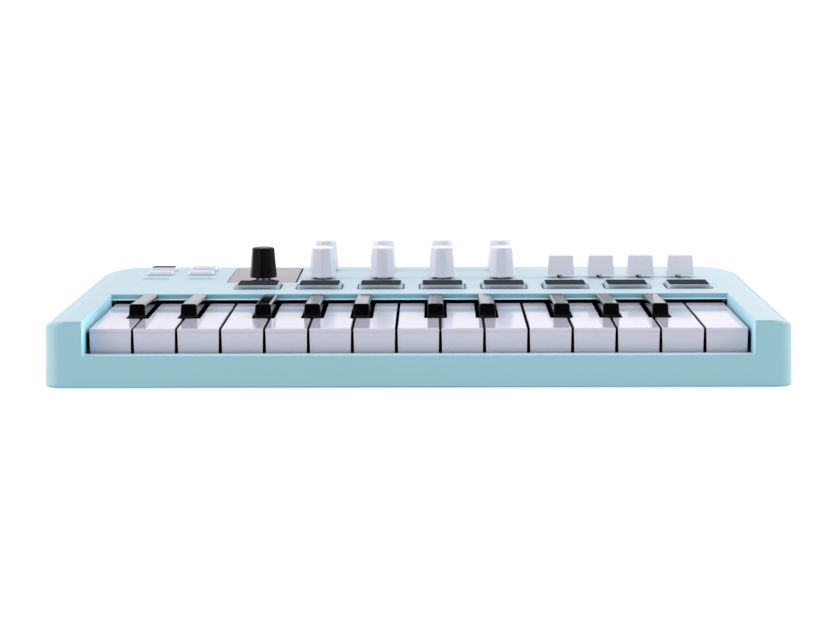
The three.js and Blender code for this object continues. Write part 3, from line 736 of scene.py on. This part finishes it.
def cut_well(cover):
    cut(cover, panel_opening(
        lambda grow: corners(-WELL_X - grow, WELL_X + grow, -5, WELL_REAR + grow),
        0.55, RAIL_Z))
    # down through the floor behind the rail, with the rail's rear edge rounded
    edge_r = 0.8
    stations = [(0, -2)]        # distance forwards, z
    for i in range(5):
        a = radians(80 * i / 4)
        stations.append((edge_r - edge_r * cos(a), RAIL_Z - edge_r + edge_r * sin(a)))
    stations.append((2, RAIL_Z + 1))
    cut(cover, [level(corners(-WELL_X, WELL_X, RAIL_Y - forward, WELL_REAR), z)
                for forward, z in stations])
    # clear the space under the panel's front edge; (y, z) outline
    under_edge = [(-3, RAIL_Z - 2.8), (2.2, RAIL_Z - 2.8), (2.2, LIP_Z + 0.35),
                  (0.55, LIP_Z + 0.35), (0.30, LIP_Z + 0.42), (0.12, LIP_Z + 0.60),
                  (0.0, LIP_Z + 0.95), (-0.8, LIP_Z + 3.0), (-3, LIP_Z + 3.0)]
    cut(cover, prism_x([(WELL_REAR + y, z) for y, z in under_edge], -WELL_X, WELL_X))
    # a fine ledge along the foot of the panel edge; (y, z) outline
    ledge = [(1.0, 28.95), (-0.50, 28.95), (-0.60, 29.03), (-0.58, 29.12), (-0.06, 29.66),
             (0.06, 29.72), (1.0, 29.78)]
    join(cover, prism_x([(WELL_REAR + y, z) for y, z in ledge], -WELL_X - 0.6, WELL_X + 0.6))


def mouth_ring(grow, y):
    """The well's opening in the front face; the left side grows less than the right."""
    r = 1.3

    def half(share):
        x = WELL_X + share * grow
        return [(x, y, 60)] + [(x - r + r * cos(radians(a)), y,
                                RAIL_Z - 0.6 * grow + r - r * sin(radians(a)))
                               for a in (0, 22, 45, 68, 90)]
    return [(-x, y, z) for x, y, z in half(0.35)] + half(1.0)[::-1]


def round_well_mouth(cover):
    flare_x, flare_y = 0.65, 0.9
    stations = []
    for i in range(6):
        a = radians(82 * i / 5)
        stations.append((flare_x - flare_x * cos(a), flare_y - flare_y * sin(a)))
    stations.append((stations[-1][0] + 1.0, -flare_y))
    cut(cover, [mouth_ring(grow, y) for grow, y in stations])


def touch_strip(x):
    """A shallow scoop that deepens to the rear; its long sides fade out, its ends are firm."""
    y, width, length, start = 142.5, 14.4, 44.0, 120.5
    rings = []
    # growth of the outline, share of the depth (negative: above the panel)
    for grow, share in ((-0.28, 1.0), (-0.12, 0.86), (-0.02, 0.55), (0.0, 0.3), (0.07, 0.1),
                        (0.18, 0.01), (0.7, -1.0)):
        side = max(-1.5, min(1.2, 5.0 * grow))
        outline = round_rect(x, y, width + 2 * side, length + 2 * grow, 1.2 + grow * 0.5)
        rings.append([(px, py, TOP - share * (0.05 + 0.34 * clamp((py - start) / length) ** 1.6)
                       if share > 0 else TOP + 0.5) for px, py in outline])
    return rings


def cut_panel(cover):
    openings = [panel_opening(growing_rect(x, PAD_Y, 24.4, 23.8, 1.6), 0.45) for x in PAD_X]
    openings += [panel_opening(growing_circle(x, y, 5.2, 40), 0.4)
                 for y in KNOB_ROWS for x in KNOB_X]
    openings += [panel_opening(growing_rect(x, 180.8, 3.0, 39.6, 0.6, 4), 0.35)
                 for x in FADER_X]
    openings += [panel_opening(growing_rect(x, y, BUTTON_W + 0.7, BUTTON_D + 0.7, 1.2), 0.35)
                 for x, y, _ in BUTTONS.values()]
    openings += [touch_strip(x) for x in (-143.8, -119.4)]
    openings.append(panel_opening(
        growing_rect(WINDOW_X, WINDOW_Y, WINDOW_W + 0.6, WINDOW_D + 0.6, 1.2), 0.25,
        WINDOW_LOW[2] - 0.3))
    cut(cover, *openings)
    # an opening through the pocket's floor
    cut(cover, box(WINDOW_X - 16.5, WINDOW_X + 16.5, WINDOW_LOW[1] + 3, WINDOW_HIGH[1] - 3,
                   TOP - 4, WINDOW_LOW[2]))


def cut_rear(cover):
    cut(cover, rear_opening(growing_rect(*USB, 10.2, 4.6, 1.9), 0.4),
        rear_opening(growing_circle(*MIDI, 8.4, 56), 0.5),
        rear_opening(growing_circle(*PEDAL, 5.4, 48), 0.5),
        rear_opening(growing_rect(*LOCK, 7.0, 3.1, 0.9, 5), 0.4))


def build_top_cover():
    cover = cover_body()
    hollow_cover(cover)
    cut_well(cover)
    round_well_mouth(cover)
    cut_panel(cover)
    cut_rear(cover)
    finish(cover, replaces=("top_cover",), sharp=30)


# ------------------------------------------------------------------ bottom cover, screws, feet
SCREWS = [(-160, 30), (160, 30), (-160, 112), (160, 112), (-160, 188), (160, 188),
          (0, 112), (0, 188)]


def build_bottom_cover():
    # inset all round, z
    stations = [(1.2, 0.0), (0.8, 0.05), (0.45, 0.22), (0.3, 0.45), (0.3, 0.62),
                (0.45, 0.66), (3.0, 0.68), (3.0, 2.8)]
    base = make("bottom_cover_plate", [M_BASE],
                [shell_ring(inset, inset, inset, z) for inset, z in stations])
    # screw recesses as (radius, z), and a shallow blank field for a rating label
    recess = [(3.6, 1.9), (3.6, 0.35), (3.75, 0.1), (4.9, -1)]
    label = column(round_rect(0, 70, 90, 42, 3), -1, 0.35)
    cut(base, *[[level(circle(x, y, r, 40), z) for r, z in recess] for x, y in SCREWS], label)
    # two fields of cooling slots
    slots = []
    for k in range(9):
        x = -112 + k * 6
        slots += [column(round_rect(side, 150, 2.2, 26, 1.09), -1, 1.6) for side in (x, -x)]
    cut(base, *slots)
    finish(base, replaces=("bottom_cover",), sharp=30)


def build_screws():
    # (radius, z) of the head
    profile = [(0, 1.85), (2.9, 1.85), (2.95, 1.6), (2.75, 1.05), (2.1, 0.62), (1.1, 0.45),
               (0, 0.42)]
    # half length, half width and z at the two ends of each cross slot
    slot_ends = [(1.6, 0.28, 0.2), (0.5, 0.16, 1.35)]
    for k, (x, y) in enumerate(SCREWS):
        draft = bmesh.new()
        add_lathe(draft, profile, x, y, 36)
        screw = object_from(draft, "case_screw_%d" % (k + 1), [M_SCREW])
        slots = []
        for quarter in (0, 1):
            a = radians(20 + 37 * k) + quarter * pi / 2
            slots.append([[(x + u * cos(a) - v * sin(a), y + u * sin(a) + v * cos(a), z)
                           for u, v in corners(-length, length, -width, width)]
                          for length, width, z in slot_ends])
        cut(screw, *slots, use_self=True)
        finish(screw)


def build_feet():
    for name, node in (("front_foot_strip", "front_rubber_foot"),
                       ("rear_foot_strip", "rear_rubber_foot")):
        low, high = mm_box(node)
        y, width, depth = (low[1] + high[1]) / 2, high[0] - low[0], high[1] - low[1]
        # inset, height over the ground
        stations = [(1.0, 0), (0.5, 0.04), (0.2, 0.2), (0.05, 0.45), (0.0, 0.7),
                    (0.0, high[2] - low[2])]
        foot = make(name, [M_RUBBER],
                    [level(round_rect(0, y, width - 2 * inset, depth - 2 * inset,
                                      depth / 2 - inset - 0.02, 10), low[2] + height)
                     for inset, height in stations])
        # long grooves that give the strip its grip
        cut(foot, *[column(round_rect(0, y + k * 1.45, width - 14, 0.5, 0.24, 4),
                           low[2] - 1, low[2] + 0.3) for k in (-2, -1, 0, 1, 2)])
        finish(foot, replaces=(node,), sharp=30)


# ------------------------------------------------------------------ keys
# a thin top slab with a soft nose over a slightly recessed front:
# height, inset of the sides, setback of the front
KEY_RINGS = [(FRONT_BOTTOM, 0.44, 0.5), (FRONT_BOTTOM + 0.08, 0.31, 0.44),
             (FRONT_BOTTOM + 0.25, 0.25, 0.40), (25.30, 0.0, 0.40), (25.42, 0.0, 0.38),
             (25.50, 0.0, 0.06), (25.60, 0.0, 0.0), (26.1, 0.0, 0.04), (26.5, 0.0, 0.10),
             (26.78, 0.03, 0.17), (26.95, 0.08, 0.26), (27.08, 0.16, 0.38),
             (27.16, 0.25, 0.54), (KEY_TOP, 0.36, 0.8)]


def pivot_slot(x0, x1):
    """Cutter for the slot in a key's tail, open below and round at its top."""
    outline = [(PIVOT_Y + PIVOT_R, 12)]
    for i in range(9):
        a = radians(180 * i / 8)
        outline.append((PIVOT_Y + PIVOT_R * cos(a), PIVOT_Z + PIVOT_R * sin(a)))
    outline.append((PIVOT_Y - PIVOT_R, 12))
    return prism_x(outline, x0, x1)


def key_tail(x, half):
    return box(x - half, x + half, KEY_REAR - 1.5, TAIL_END, TAIL_BOTTOM, TAIL_TOP)


def rounded(points, radii, steps=4):
    """Rounds the square corners of a closed plan outline."""
    out = []
    for i, (point, r) in enumerate(zip(points, radii)):
        corner = Vector(point)
        back = (Vector(points[i - 1]) - corner).normalized()
        ahead = (Vector(points[(i + 1) % len(points)]) - corner).normalized()
        centre = corner + (back + ahead) * r
        for k in range(steps + 1):
            t = pi / 2 * k / steps
            q = centre - ahead * r * cos(t) - back * r * sin(t)
            out.append((q.x, q.y))
    return out


def white_key_outline(x0, x1, left, right, inset, setback):
    """Plan of a white key; left and right bound its narrow part between black keys."""
    def outer(r):
        return max(r - inset, 0.04)
    notch_y, rear, inner = NOTCH_Y - inset, KEY_REAR - inset, 0.5 + inset
    points = [(x0 + inset, KEY_FRONT + setback), (x1 - inset, KEY_FRONT + setback)]
    radii = [outer(0.32), outer(0.32)]
    if right != x1:
        points += [(x1 - inset, notch_y), (right - inset, notch_y)]
        radii += [outer(1.3), inner]
    points += [(right - inset, rear), (left + inset, rear)]
    radii += [outer(0.4), outer(0.4)]
    if left != x0:
        points += [(left + inset, notch_y), (x0 + inset, notch_y)]
        radii += [inner, outer(1.3)]
    return rounded(points, radii)


def build_white_key(node):
    near, half_gap, wall = 6.5, 5.4, 1.6
    low, high = mm_box(node)
    x0, x1 = low[0], high[0]
    black_left = [x for x in BLACK_X if abs(x - x0) < near]
    black_right = [x for x in BLACK_X if abs(x - x1) < near]
    left = black_left[0] + half_gap if black_left else x0
    right = black_right[0] - half_gap if black_right else x1
    key = make("key_" + node, [M_WHITE_KEY],
               [level(white_key_outline(x0, x1, left, right, inset, setback), z)
                for z, inset, setback in KEY_RINGS])
    x = (left + right) / 2
    ceiling = KEY_TOP - 1.8
    join(key, key_tail(x, 4))
    cut(key, box(x0 - 1, x1 + 1, KEY_FRONT + 2, KEY_REAR - 2.0, 10, KEY_BOTTOM))
    cut(key, box(x0 + wall, x1 - wall, KEY_FRONT + 2, NOTCH_Y - wall, 10, ceiling))
    cut(key, box(left + wall, right - wall, 40, KEY_REAR - 2.2, 10, ceiling))
    cut(key, pivot_slot(x - 6, x + 6))
    finish(key, node, (node,), sharp=34)


def bevel(draft, edges, width, segments):
    bmesh.ops.bevel(draft, geom=edges, offset=width, segments=segments, profile=0.5,
                    affect="EDGES", clamp_overlap=True, offset_type="OFFSET")


def build_black_key(node, x):
    half_base, half_top = 4.15, 3.86
    front_base, front_top, front_z, rear_z = 45.1, 46.1, 34.15, 32.05
    base = corners(x - half_base, x + half_base, front_base, KEY_REAR)
    top = corners(x - half_top, x + half_top, front_top, KEY_REAR)
    top_z = (front_z, front_z, rear_z, rear_z)
    draft = bmesh.new()
    crown = add_loft(draft, [level(base, KEY_BOTTOM), level(base, 27.0),
                             [(*p, z) for p, z in zip(top, top_z)]])[2]
    bmesh.ops.recalc_face_normals(draft, faces=draft.faces)
    long_edges = ({crown[1], crown[2]}, {crown[3], crown[0]})
    bevel(draft, [e for e in draft.edges if set(e.verts) in long_edges], 1.15, 6)
    draft.normal_update()
    nose = [f for f in draft.faces if f.normal.y < -0.8]
    rim = [e for f in nose for e in f.edges if sum(g in nose for g in e.link_faces) == 1
           and max(v.co.z for v in e.verts) > KEY_BOTTOM + 0.01]
    bevel(draft, rim, 0.5, 4)
    key = object_from(draft, "key_" + node, [M_BLACK_KEY])
    join(key, key_tail(x, 3))
    cut(key, box(x - 2.85, x + 2.85, 47.4, KEY_REAR - 2.2, 10, 30.2))
    cut(key, pivot_slot(x - 5, x + 5))
    finish(key, node, (node,), sharp=34)


# ------------------------------------------------------------------ pads and buttons
# width, depth, corner radius, z
PAD_LOWER = [(10, 10, 0.8, 25.3), (10, 10, 0.8, 28.2), (27, 26.4, 1.6, 28.3),
             (27, 26.4, 1.6, 29.3), (23.6, 23.0, 2.3, 29.32)]
# width, depth, corner radius, height over the panel; the last six are the coated top
PAD_UPPER = [(23.6, 23.0, 2.3, -0.1), (23.5, 22.9, 2.3, 0.15), (22.9, 22.3, 2.1, 0.65),
             (22.2, 21.55, 1.8, 1.3), (21.7, 21.0, 1.5, 1.72), (21.35, 20.65, 1.3, 1.90),
             (21.0, 20.3, 1.1, 1.95),
             (20.8, 20.1, 1.0, 1.95), (20.6, 19.9, 0.95, 2.04), (20.2, 19.5, 0.9, 2.09),
             (15, 14.4, 0.7, 2.13), (8, 7.6, 0.5, 2.15), (3, 2.8, 0.4, 2.15)]
BUTTON_LOWER = [(6, 6, 0.6, 25.3), (6, 6, 0.6, 28.2), (BUTTON_W + 2.6, 12.0, 1.4, 28.3),
                (BUTTON_W + 2.6, 12.0, 1.4, 29.3), (BUTTON_W, BUTTON_D, 1.0, 29.32)]
BUTTON_UPPER = [(BUTTON_W, BUTTON_D, 1.0, 0.2), (BUTTON_W - 0.05, 9.35, 1.0, 0.9),
                (BUTTON_W - 0.15, 9.25, 1.0, 1.35), (BUTTON_W - 0.4, 9.0, 1.0, 1.65),
                (BUTTON_W - 0.8, 8.6, 0.95, 1.84), (BUTTON_W - 1.35, 8.1, 0.9, 1.93),
                (BUTTON_W - 1.6, 7.8, 0.85, 1.95), (10, 6.2, 0.8, 2.0), (5, 3.2, 0.6, 2.03)]


def over_panel(stations):
    return [(width, depth, r, TOP + z) for width, depth, r, z in stations]


def build_pad(node):
    pad_x, pad_y, _ = middle(node)
    rings = [level(fine_round_rect(pad_x, pad_y, width, depth, r), z)
             for width, depth, r, z in PAD_LOWER + over_panel(PAD_UPPER)]
    pad = make("drum_" + node, [M_SKIRT, M_PAD_TOP], rings, slots=[0] * 12 + [1] * 7)

    def skirt_painted_shade(x, y, z):
        """Painted shade: dark down in the hole; above the panel it clears towards the top and the
        corners.
        """
        if z < TOP + 0.05:
            return 1.0
        on_end = abs(y - pad_y) > 9
        down = clamp((TOP + 1.95 - z) / 1.75)
        along = min(1.0, abs(x - pad_x if on_end else y - pad_y) / 10.6)
        return (0.22 + 0.60 * down) * (1.0 - 0.80 * along ** 5) * (1.0 if on_end else 0.7)
    store_painted_shading(pad, skirt_painted_shade)
    finish(pad, node, (node,), sharp=40)


def build_button(node, button_x, button_y):
    # the rear pair stands a little prouder
    lift = 0.45 if button_y > BUTTON_MID_Y else 0.0
    rings = [level(round_rect(button_x, button_y, width, depth, r),
                   z + lift * clamp((z - TOP) / 1.9))
             for width, depth, r, z in BUTTON_LOWER + over_panel(BUTTON_UPPER)]
    is_black = node == "shift_button"
    button = make(node + "_cap", [M_BUTTON, M_BLACK_BUTTON], rings,
                  slots=[0] * 11 + [1] * 4 if is_black else None)

    # painted light and shade: the button's sides are painted lighter and its top darker
    def rim_painted_light(x, y, z):
        return clamp((TOP + 1.95 + lift - z) / 0.45) * (0.55 + 0.45 * clamp((z - TOP) / 0.9))
    store_painted_shading(button, rim_painted_light)
    finish(button, node, (node,), sharp=40)


# ------------------------------------------------------------------ display window
def build_window():
    low, high = WINDOW_LOW[2], WINDOW_HIGH[2]
    # inset, z
    stations = [(0.15, low), (0, low + 0.15), (0, high - 0.22), (0.04, high - 0.1),
                (0.12, high - 0.03), (0.24, high)]
    sheet = make("window_sheet", [M_WINDOW],
                 [level(round_rect(WINDOW_X - 0.35, WINDOW_Y, WINDOW_W - 0.5 - 2 * inset,
                                   WINDOW_D - 2 * inset, 1.0 - inset * 0.5), z)
                  for inset, z in stations])
    cut(sheet, column(circle(SELECTOR_X, SELECTOR_Y, 4.2, 40), low - 1, high + 1))
    finish(sheet, replaces=("display_window",), sharp=30)


# ------------------------------------------------------------------ knobs
def knob_radius(angle, radius, flat):
    """An eight-sided grip with soft corners. flat 0 is round, 1 the full facet."""
    facet, softness = pi / 4, 46
    octagon = 0.948 / cos((angle % facet) - facet / 2)
    soft = -log(exp(-softness * (octagon - 1)) + exp(-softness * 0.004)) / softness + 1
    return radius * (1 + (soft - 1) * flat)


def build_knob(node, turn, material, encoder=True):
    """An encoder's grip comes with its steel shaft; the selector's is bored for a pin."""
    x, y, _ = middle(node)
    top = mm_box(node)[1][2]
    z0, z1 = (33.3, top - 0.15) if encoder else (33.0, top - 0.3)
    foot_r, top_r = (7.36, 6.24) if encoder else (7.5, 6.25)
    count, turn = 96, radians(turn - 90)

    def side_radius(z):
        return foot_r + (top_r - foot_r) * (z - z0) / (z1 - 0.9 - z0)

    # (radius, z, flat), from the shaft outwards and down the inside of the hollow skirt
    if encoder:
        stations = [(2.6, 24.5, 0.0), (3.0, 24.9, 0.0), (3.0, z0 + 1.2, 0.0)]
    else:
        stations = [(3.35, z0 + 9.4, 0.0), (3.35, z0 + 1.2, 0.0)]
    stations += [(4.1, z0 + 1.2, 0.0), (4.4, z0 + 1.5, 0.0), (4.4, z0 + 10.6, 0.0),
                 (top_r - 1.25, z0 + 10.6, 0.0)]
    # the foot rim as (inset, height, flat)
    stations += [(foot_r - inset, z0 + height, flat) for inset, height, flat in (
        (1.35, 0.2, 0.0), (1.2, 0, 0.0), (0.42, 0, 0.35), (0.20, 0.07, 0.35),
        (0.10, 0.24, 0.35), (0.08, 0.60, 0.40), (0.08, 0.85, 0.66), (0.09, 1.10, 0.95))]
    for k in range(1, 13):
        z = z0 + 1.2 + (z1 - 1.25 - z0 - 1.2) * k / 12
        stations.append((side_radius(z), z, 1.0 if k < 11 else 0.9))
    shoulder, round_r, round_h = z1 - 1.15, 0.95, 0.83
    for k in range(1, 7):
        a = radians(90 * k / 6)
        stations.append((side_radius(shoulder) - round_r * (1 - cos(a)),
                         shoulder + round_h * sin(a), 0.85 - 0.1 * k))
    for share, rise in ((0.72, 0.20), (0.48, 0.26), (0.24, 0.30)):
        stations.append(((top_r - round_r) * share / 0.83, shoulder + round_h + rise, 0.2))

    angles = [2 * pi * i / count for i in range(count)]
    rings = []
    for r, z, flat in stations:
        radii = [knob_radius(a - turn, r, flat) for a in angles]
        rings.append([(x + r * cos(a), y + r * sin(a), z) for r, a in zip(radii, angles)])
    slots = [1] * 4 + [0] * (len(rings) - 3) if encoder else None
    return make("grip_" + node, [material, M_HUB if encoder else material], rings, slots=slots)


def build_knobs():
    turns = (-17.5, -31.5, -7.5, -10.5, -4, -24, 16.1, -29)     # degrees, knobs 1 to 8
    for k, turn in enumerate(turns, 1):
        node = "encoder_knob_%d" % k
        # the rear knobs, 1 to 4, take the painted-light copy of the knob plastic
        knob = build_knob(node, turn, M_LIT_CAP if k < 5 else M_KNOB)
        finish(knob, node, (node,), sharp=48)
    node = "selector_knob"
    knob = build_knob(node, -7, M_BLACK_KNOB, encoder=False)
    finish(knob, node, (node,), sharp=48)


def build_selector_shaft():
    node = "selector_shaft"
    low, high = (corner[2] for corner in mm_box(node))
    draft = bmesh.new()
    add_lathe(draft, [(0, low), (2.9, low), (3.0, low + 0.1), (3.0, high - 0.6),
                      (2.8, high - 0.2), (2.4, high), (0, high)], SELECTOR_X, SELECTOR_Y, 48)
    pin = object_from(draft, "selector_shaft_pin", [M_STEEL])
    finish(pin, node, (node,))


# ------------------------------------------------------------------ fader caps
# width, depth, corner radius, z; the last four dip into the finger groove
FADER_RINGS = [(14.3, 8.6, 0.35, 33.7), (14.5, 8.8, 0.42, 33.76), (14.6, 8.9, 0.45, 34.0),
               (14.05, 8.25, 0.45, 38.9), (13.42, 7.60, 0.45, 43.4), (13.34, 7.52, 0.45, 44.0),
               (13.2, 7.38, 0.40, 44.22), (12.95, 7.12, 0.32, 44.3),
               (12.2, 6.4, 0.25, 44.3), (12.0, 6.2, 0.25, 44.12), (11.6, 4.6, 0.2, 43.82),
               (10.9, 2.0, 0.2, 43.7)]


def build_fader(node):
    x, y, _ = middle(node)
    ceiling = 41.6
    # the cap takes the painted-light copy of the knob plastic
    cap = make("slider_" + node, [M_LIT_CAP, M_BLACK],
               [level(round_rect(x, y, width, depth, r, 5), z)
                for width, depth, r, z in FADER_RINGS])
    cut(cap, [level(round_rect(x, y, 12.0, 6.6, 0.5, 3), 33),
              level(round_rect(x, y, 10.5, 5.0, 0.5, 3), ceiling)])
    lever = make("lever_" + node, [M_STEEL],
                 column(round_rect(x, y, 1.0, 3.6, 0.2, 4), 25.0, ceiling))
    finish(lever, node)
    finish(cap, node, (node,), sharp=34)


# ------------------------------------------------------------------ rear sockets
def build_socket_board():
    board = make("socket_circuit_board", [M_BOARD], box(-140, -60, 187, 216, 5.4, 7.0))
    cut(board, *[column(circle(x, y, 1.6, 24), 4, 8)
                 for x, y in ((-137, 205), (-63, 205), (-118, 199), (-88, 194))])
    finish(board, replaces=("socket_board",))


def build_usb():
    """A rolled steel sleeve with its contact tongue."""
    # inset, y: along the outside to the mouth and back down the inside
    sleeve = [(0.0, 210.0), (0.0, 219.2), (0.12, 219.42), (0.32, 219.42), (0.42, 219.3),
              (0.45, 211.0)]
    finish(make("usb_shell", [M_STEEL],
                [upright(round_rect(*USB, 9.7 - 2 * inset, 4.1 - 2 * inset, 1.7 - inset, 8), y)
                 for inset, y in sleeve]))
    tongue = [(0, 210.7), (0, 217.9), (0.12, 218.2)]
    finish(make("usb_tongue", [M_BLACK],
                [upright(round_rect(*USB, 6.6 - 2 * inset, 0.7 - 2 * inset, 0.3 - inset * 0.5,
                                    4), y) for inset, y in tongue]))
    contacts = []
    for k in range(8):
        x = USB[0] + (k - 3.5) * 0.72
        contacts += [box(x - 0.16, x + 0.16, 213.0, 217.6, z - 0.05, z + 0.05)
                     for z in (USB[1] - 0.38, USB[1] + 0.38)]
    finish(make("usb_contacts", [M_GOLD], *contacts))


def build_midi():
    """Sleeve, plated shield and an insert with five holes on an arc and a notch at its top."""
    sleeve = [(8.0, 207.2), (8.0, 218.9), (7.85, 219.1), (7.5, 219.1), (7.42, 219.0),
              (7.42, 209.6)]
    shield = [(7.35, 209.8), (7.35, 217.4), (7.2, 217.6), (6.75, 217.6), (6.65, 217.5),
              (6.65, 210.6)]
    finish(make("midi_sleeve", [M_BLACK], tube(MIDI, sleeve, 64)))
    finish(make("midi_shield", [M_STEEL], tube(MIDI, shield, 64)))
    insert = make("midi_insert", [M_BLACK],
                  tube(MIDI, [(6.55, 210.0), (6.55, 215.4), (6.4, 215.6)], 48))
    cutters = []
    for angle in (180, 225, 270, 315, 360):
        hole = (MIDI[0] + 4.4 * cos(radians(angle)), MIDI[1] + 4.4 * sin(radians(angle)) + 0.6)
        cutters.append(tube(hole, [(0.78, 212.0), (0.78, 215.3), (1.0, 215.9)], 20))
    notch = round_rect(MIDI[0], MIDI[1] + 6.1, 2.2, 2.2, 0.3, 3)
    cutters.append([upright(notch, y) for y in (212, 217)])
    cut(insert, *cutters)
    finish(insert)


def build_pedal_socket():
    """A black body with a plated threaded collar."""
    body = [(5.0, 190.0), (5.0, 217.2), (5.0, 218.4), (4.8, 218.6), (3.9, 218.6),
            (3.7, 218.4), (3.4, 218.0), (3.4, 191.5)]
    finish(make("pedal_socket_body", [M_BLACK], tube(PEDAL, body, 56)))
    thread = []
    for k in range(11):
        thread += [(3.17, 213.2 + k * 0.42), (2.95, 213.4 + k * 0.42)]
    collar = [(3.36, 213.0), (3.36, 218.0), (3.2, 218.15), (3.02, 218.1)] + thread[::-1]
    draft = bmesh.new()
    add_bands(draft, tube(PEDAL, collar, 40), closed=True)
    finish(object_from(draft, "pedal_socket_collar", [M_STEEL]))


def build_lock_liner():
    # width, height, corner radius, y
    stations = [(9.5, 5.4, 1.2, 214.6), (9.5, 5.4, 1.2, 217.3), (6.8, 2.9, 0.8, 217.35),
                (6.8, 2.9, 0.8, 218.9), (6.4, 2.5, 0.7, 219.0), (6.2, 2.3, 0.6, 218.8),
                (6.2, 2.3, 0.6, 215.6)]
    finish(make("lock_slot_liner", [M_STEEL],
                [upright(round_rect(*LOCK, width, height, r, 5), y)
                 for width, height, r, y in stations]))


def paint_cad_pieces():
    """CAD pieces kept inside the case."""
    for node, material in (("control_board", M_BOARD), ("key_contact_board", M_BOARD),
                           ("keybed_chassis", M_BLACK)):
        for slot in frame["nodes"][node].material_slots:
            slot.link = "OBJECT"
            slot.material = material


# ------------------------------------------------------------------ floor, light, camera
def build_floor():
    draft = bmesh.new()
    bmesh.ops.create_grid(draft, x_segments=2, y_segments=2, size=6.0)
    mesh = bpy.data.meshes.new("floor")
    draft.to_mesh(mesh)
    draft.free()
    floor = bpy.data.objects.new("floor", mesh)
    SCENE.collection.objects.link(floor)
    tree = Tree(bpy.data.materials.new("floor_white"), "Principled BSDF")
    tree.feed(Base_Color=(0.50, 0.50, 0.505), Roughness=0.9, Specular_IOR_Level=0.0,
              Emission_Color=(1, 1, 1), Emission_Strength=0.74)
    mesh.materials.append(tree.owner)


def build_world():
    """A pale tent: bright behind, above and at the sides, dimmer towards the camera."""
    SCENE.world = bpy.data.worlds.new("studio")
    tree = Tree(SCENE.world, "Background")
    x, y, _ = tree.split(tree.add("TexCoord", output="Generated"))
    # where each part of the tent lies, and how sharply it fades
    camera_side = tree.math("MULTIPLY", y, -1.0, clamp=True) ** 1.8
    behind = y.maximum(0.0)
    right = x.maximum(0.0) ** 2.0
    left = (x * -1.0).maximum(0.0) ** 2.0
    # strengths of the parts
    overall, slope, slope_behind, back_gain, camera_loss = 1.02, 0.20, 0.32, 0.05, 0.96
    right_gain, left_gain, reflection_limit = 0.95, 2.0, 1.40
    light = overall + x * (slope + behind * slope_behind)
    light = light + (behind * back_gain - camera_side * camera_loss)
    light = light + (right * right_gain + left * left_gain)
    # reflections never see the side lights at full strength, so glossy faces keep their colour
    glossy = tree.add("LightPath", output="Is Glossy Ray")
    light = light.minimum(reflection_limit) * glossy + light * (1.0 - glossy)
    left_tint, right_tint = (1.045, 0.985, 1.010), (0.980, 0.985, 1.060)
    tree.feed(Strength=light, Color=tree.mix(x * 0.5 + 0.5, left_tint, right_tint))


def build_camera():
    data = bpy.data.cameras.new("camera")
    data.sensor_width = 36.0
    data.lens = 94.87
    data.clip_start = 0.05
    data.clip_end = 50
    camera = bpy.data.objects.new("camera", data)
    SCENE.collection.objects.link(camera)
    camera.location = (0.00707, -1.13853, 0.18039 + FOOT * 0.001)
    turn, down, roll = 0.0068, 0.1398, -0.0031      # radians
    camera.rotation_euler = (Matrix.Rotation(turn, 3, "Z")
                             @ Matrix.Rotation(pi / 2 - down, 3, "X")
                             @ Matrix.Rotation(roll, 3, "Z")).to_euler()
    SCENE.camera = camera
    SCENE.view_settings.view_transform = "Standard"
    SCENE.view_settings.look = "None"


build_top_cover()
build_bottom_cover()
build_screws()
build_feet()
for key_node in WHITE_KEYS:
    build_white_key(key_node)
for key_node, key_x in zip(BLACK_KEYS, BLACK_X):
    build_black_key(key_node, key_x)
for pad in range(1, 9):
    build_pad("pad_%d" % pad)
for button_node, place in BUTTONS.items():
    build_button(button_node, place[0], place[1])
build_window()
build_knobs()
build_selector_shaft()
for fader in range(1, 5):
    build_fader("fader_cap_%d" % fader)
build_socket_board()
build_usb()
build_midi()
build_pedal_socket()
build_lock_liner()
paint_cad_pieces()
build_floor()
build_world()
build_camera()
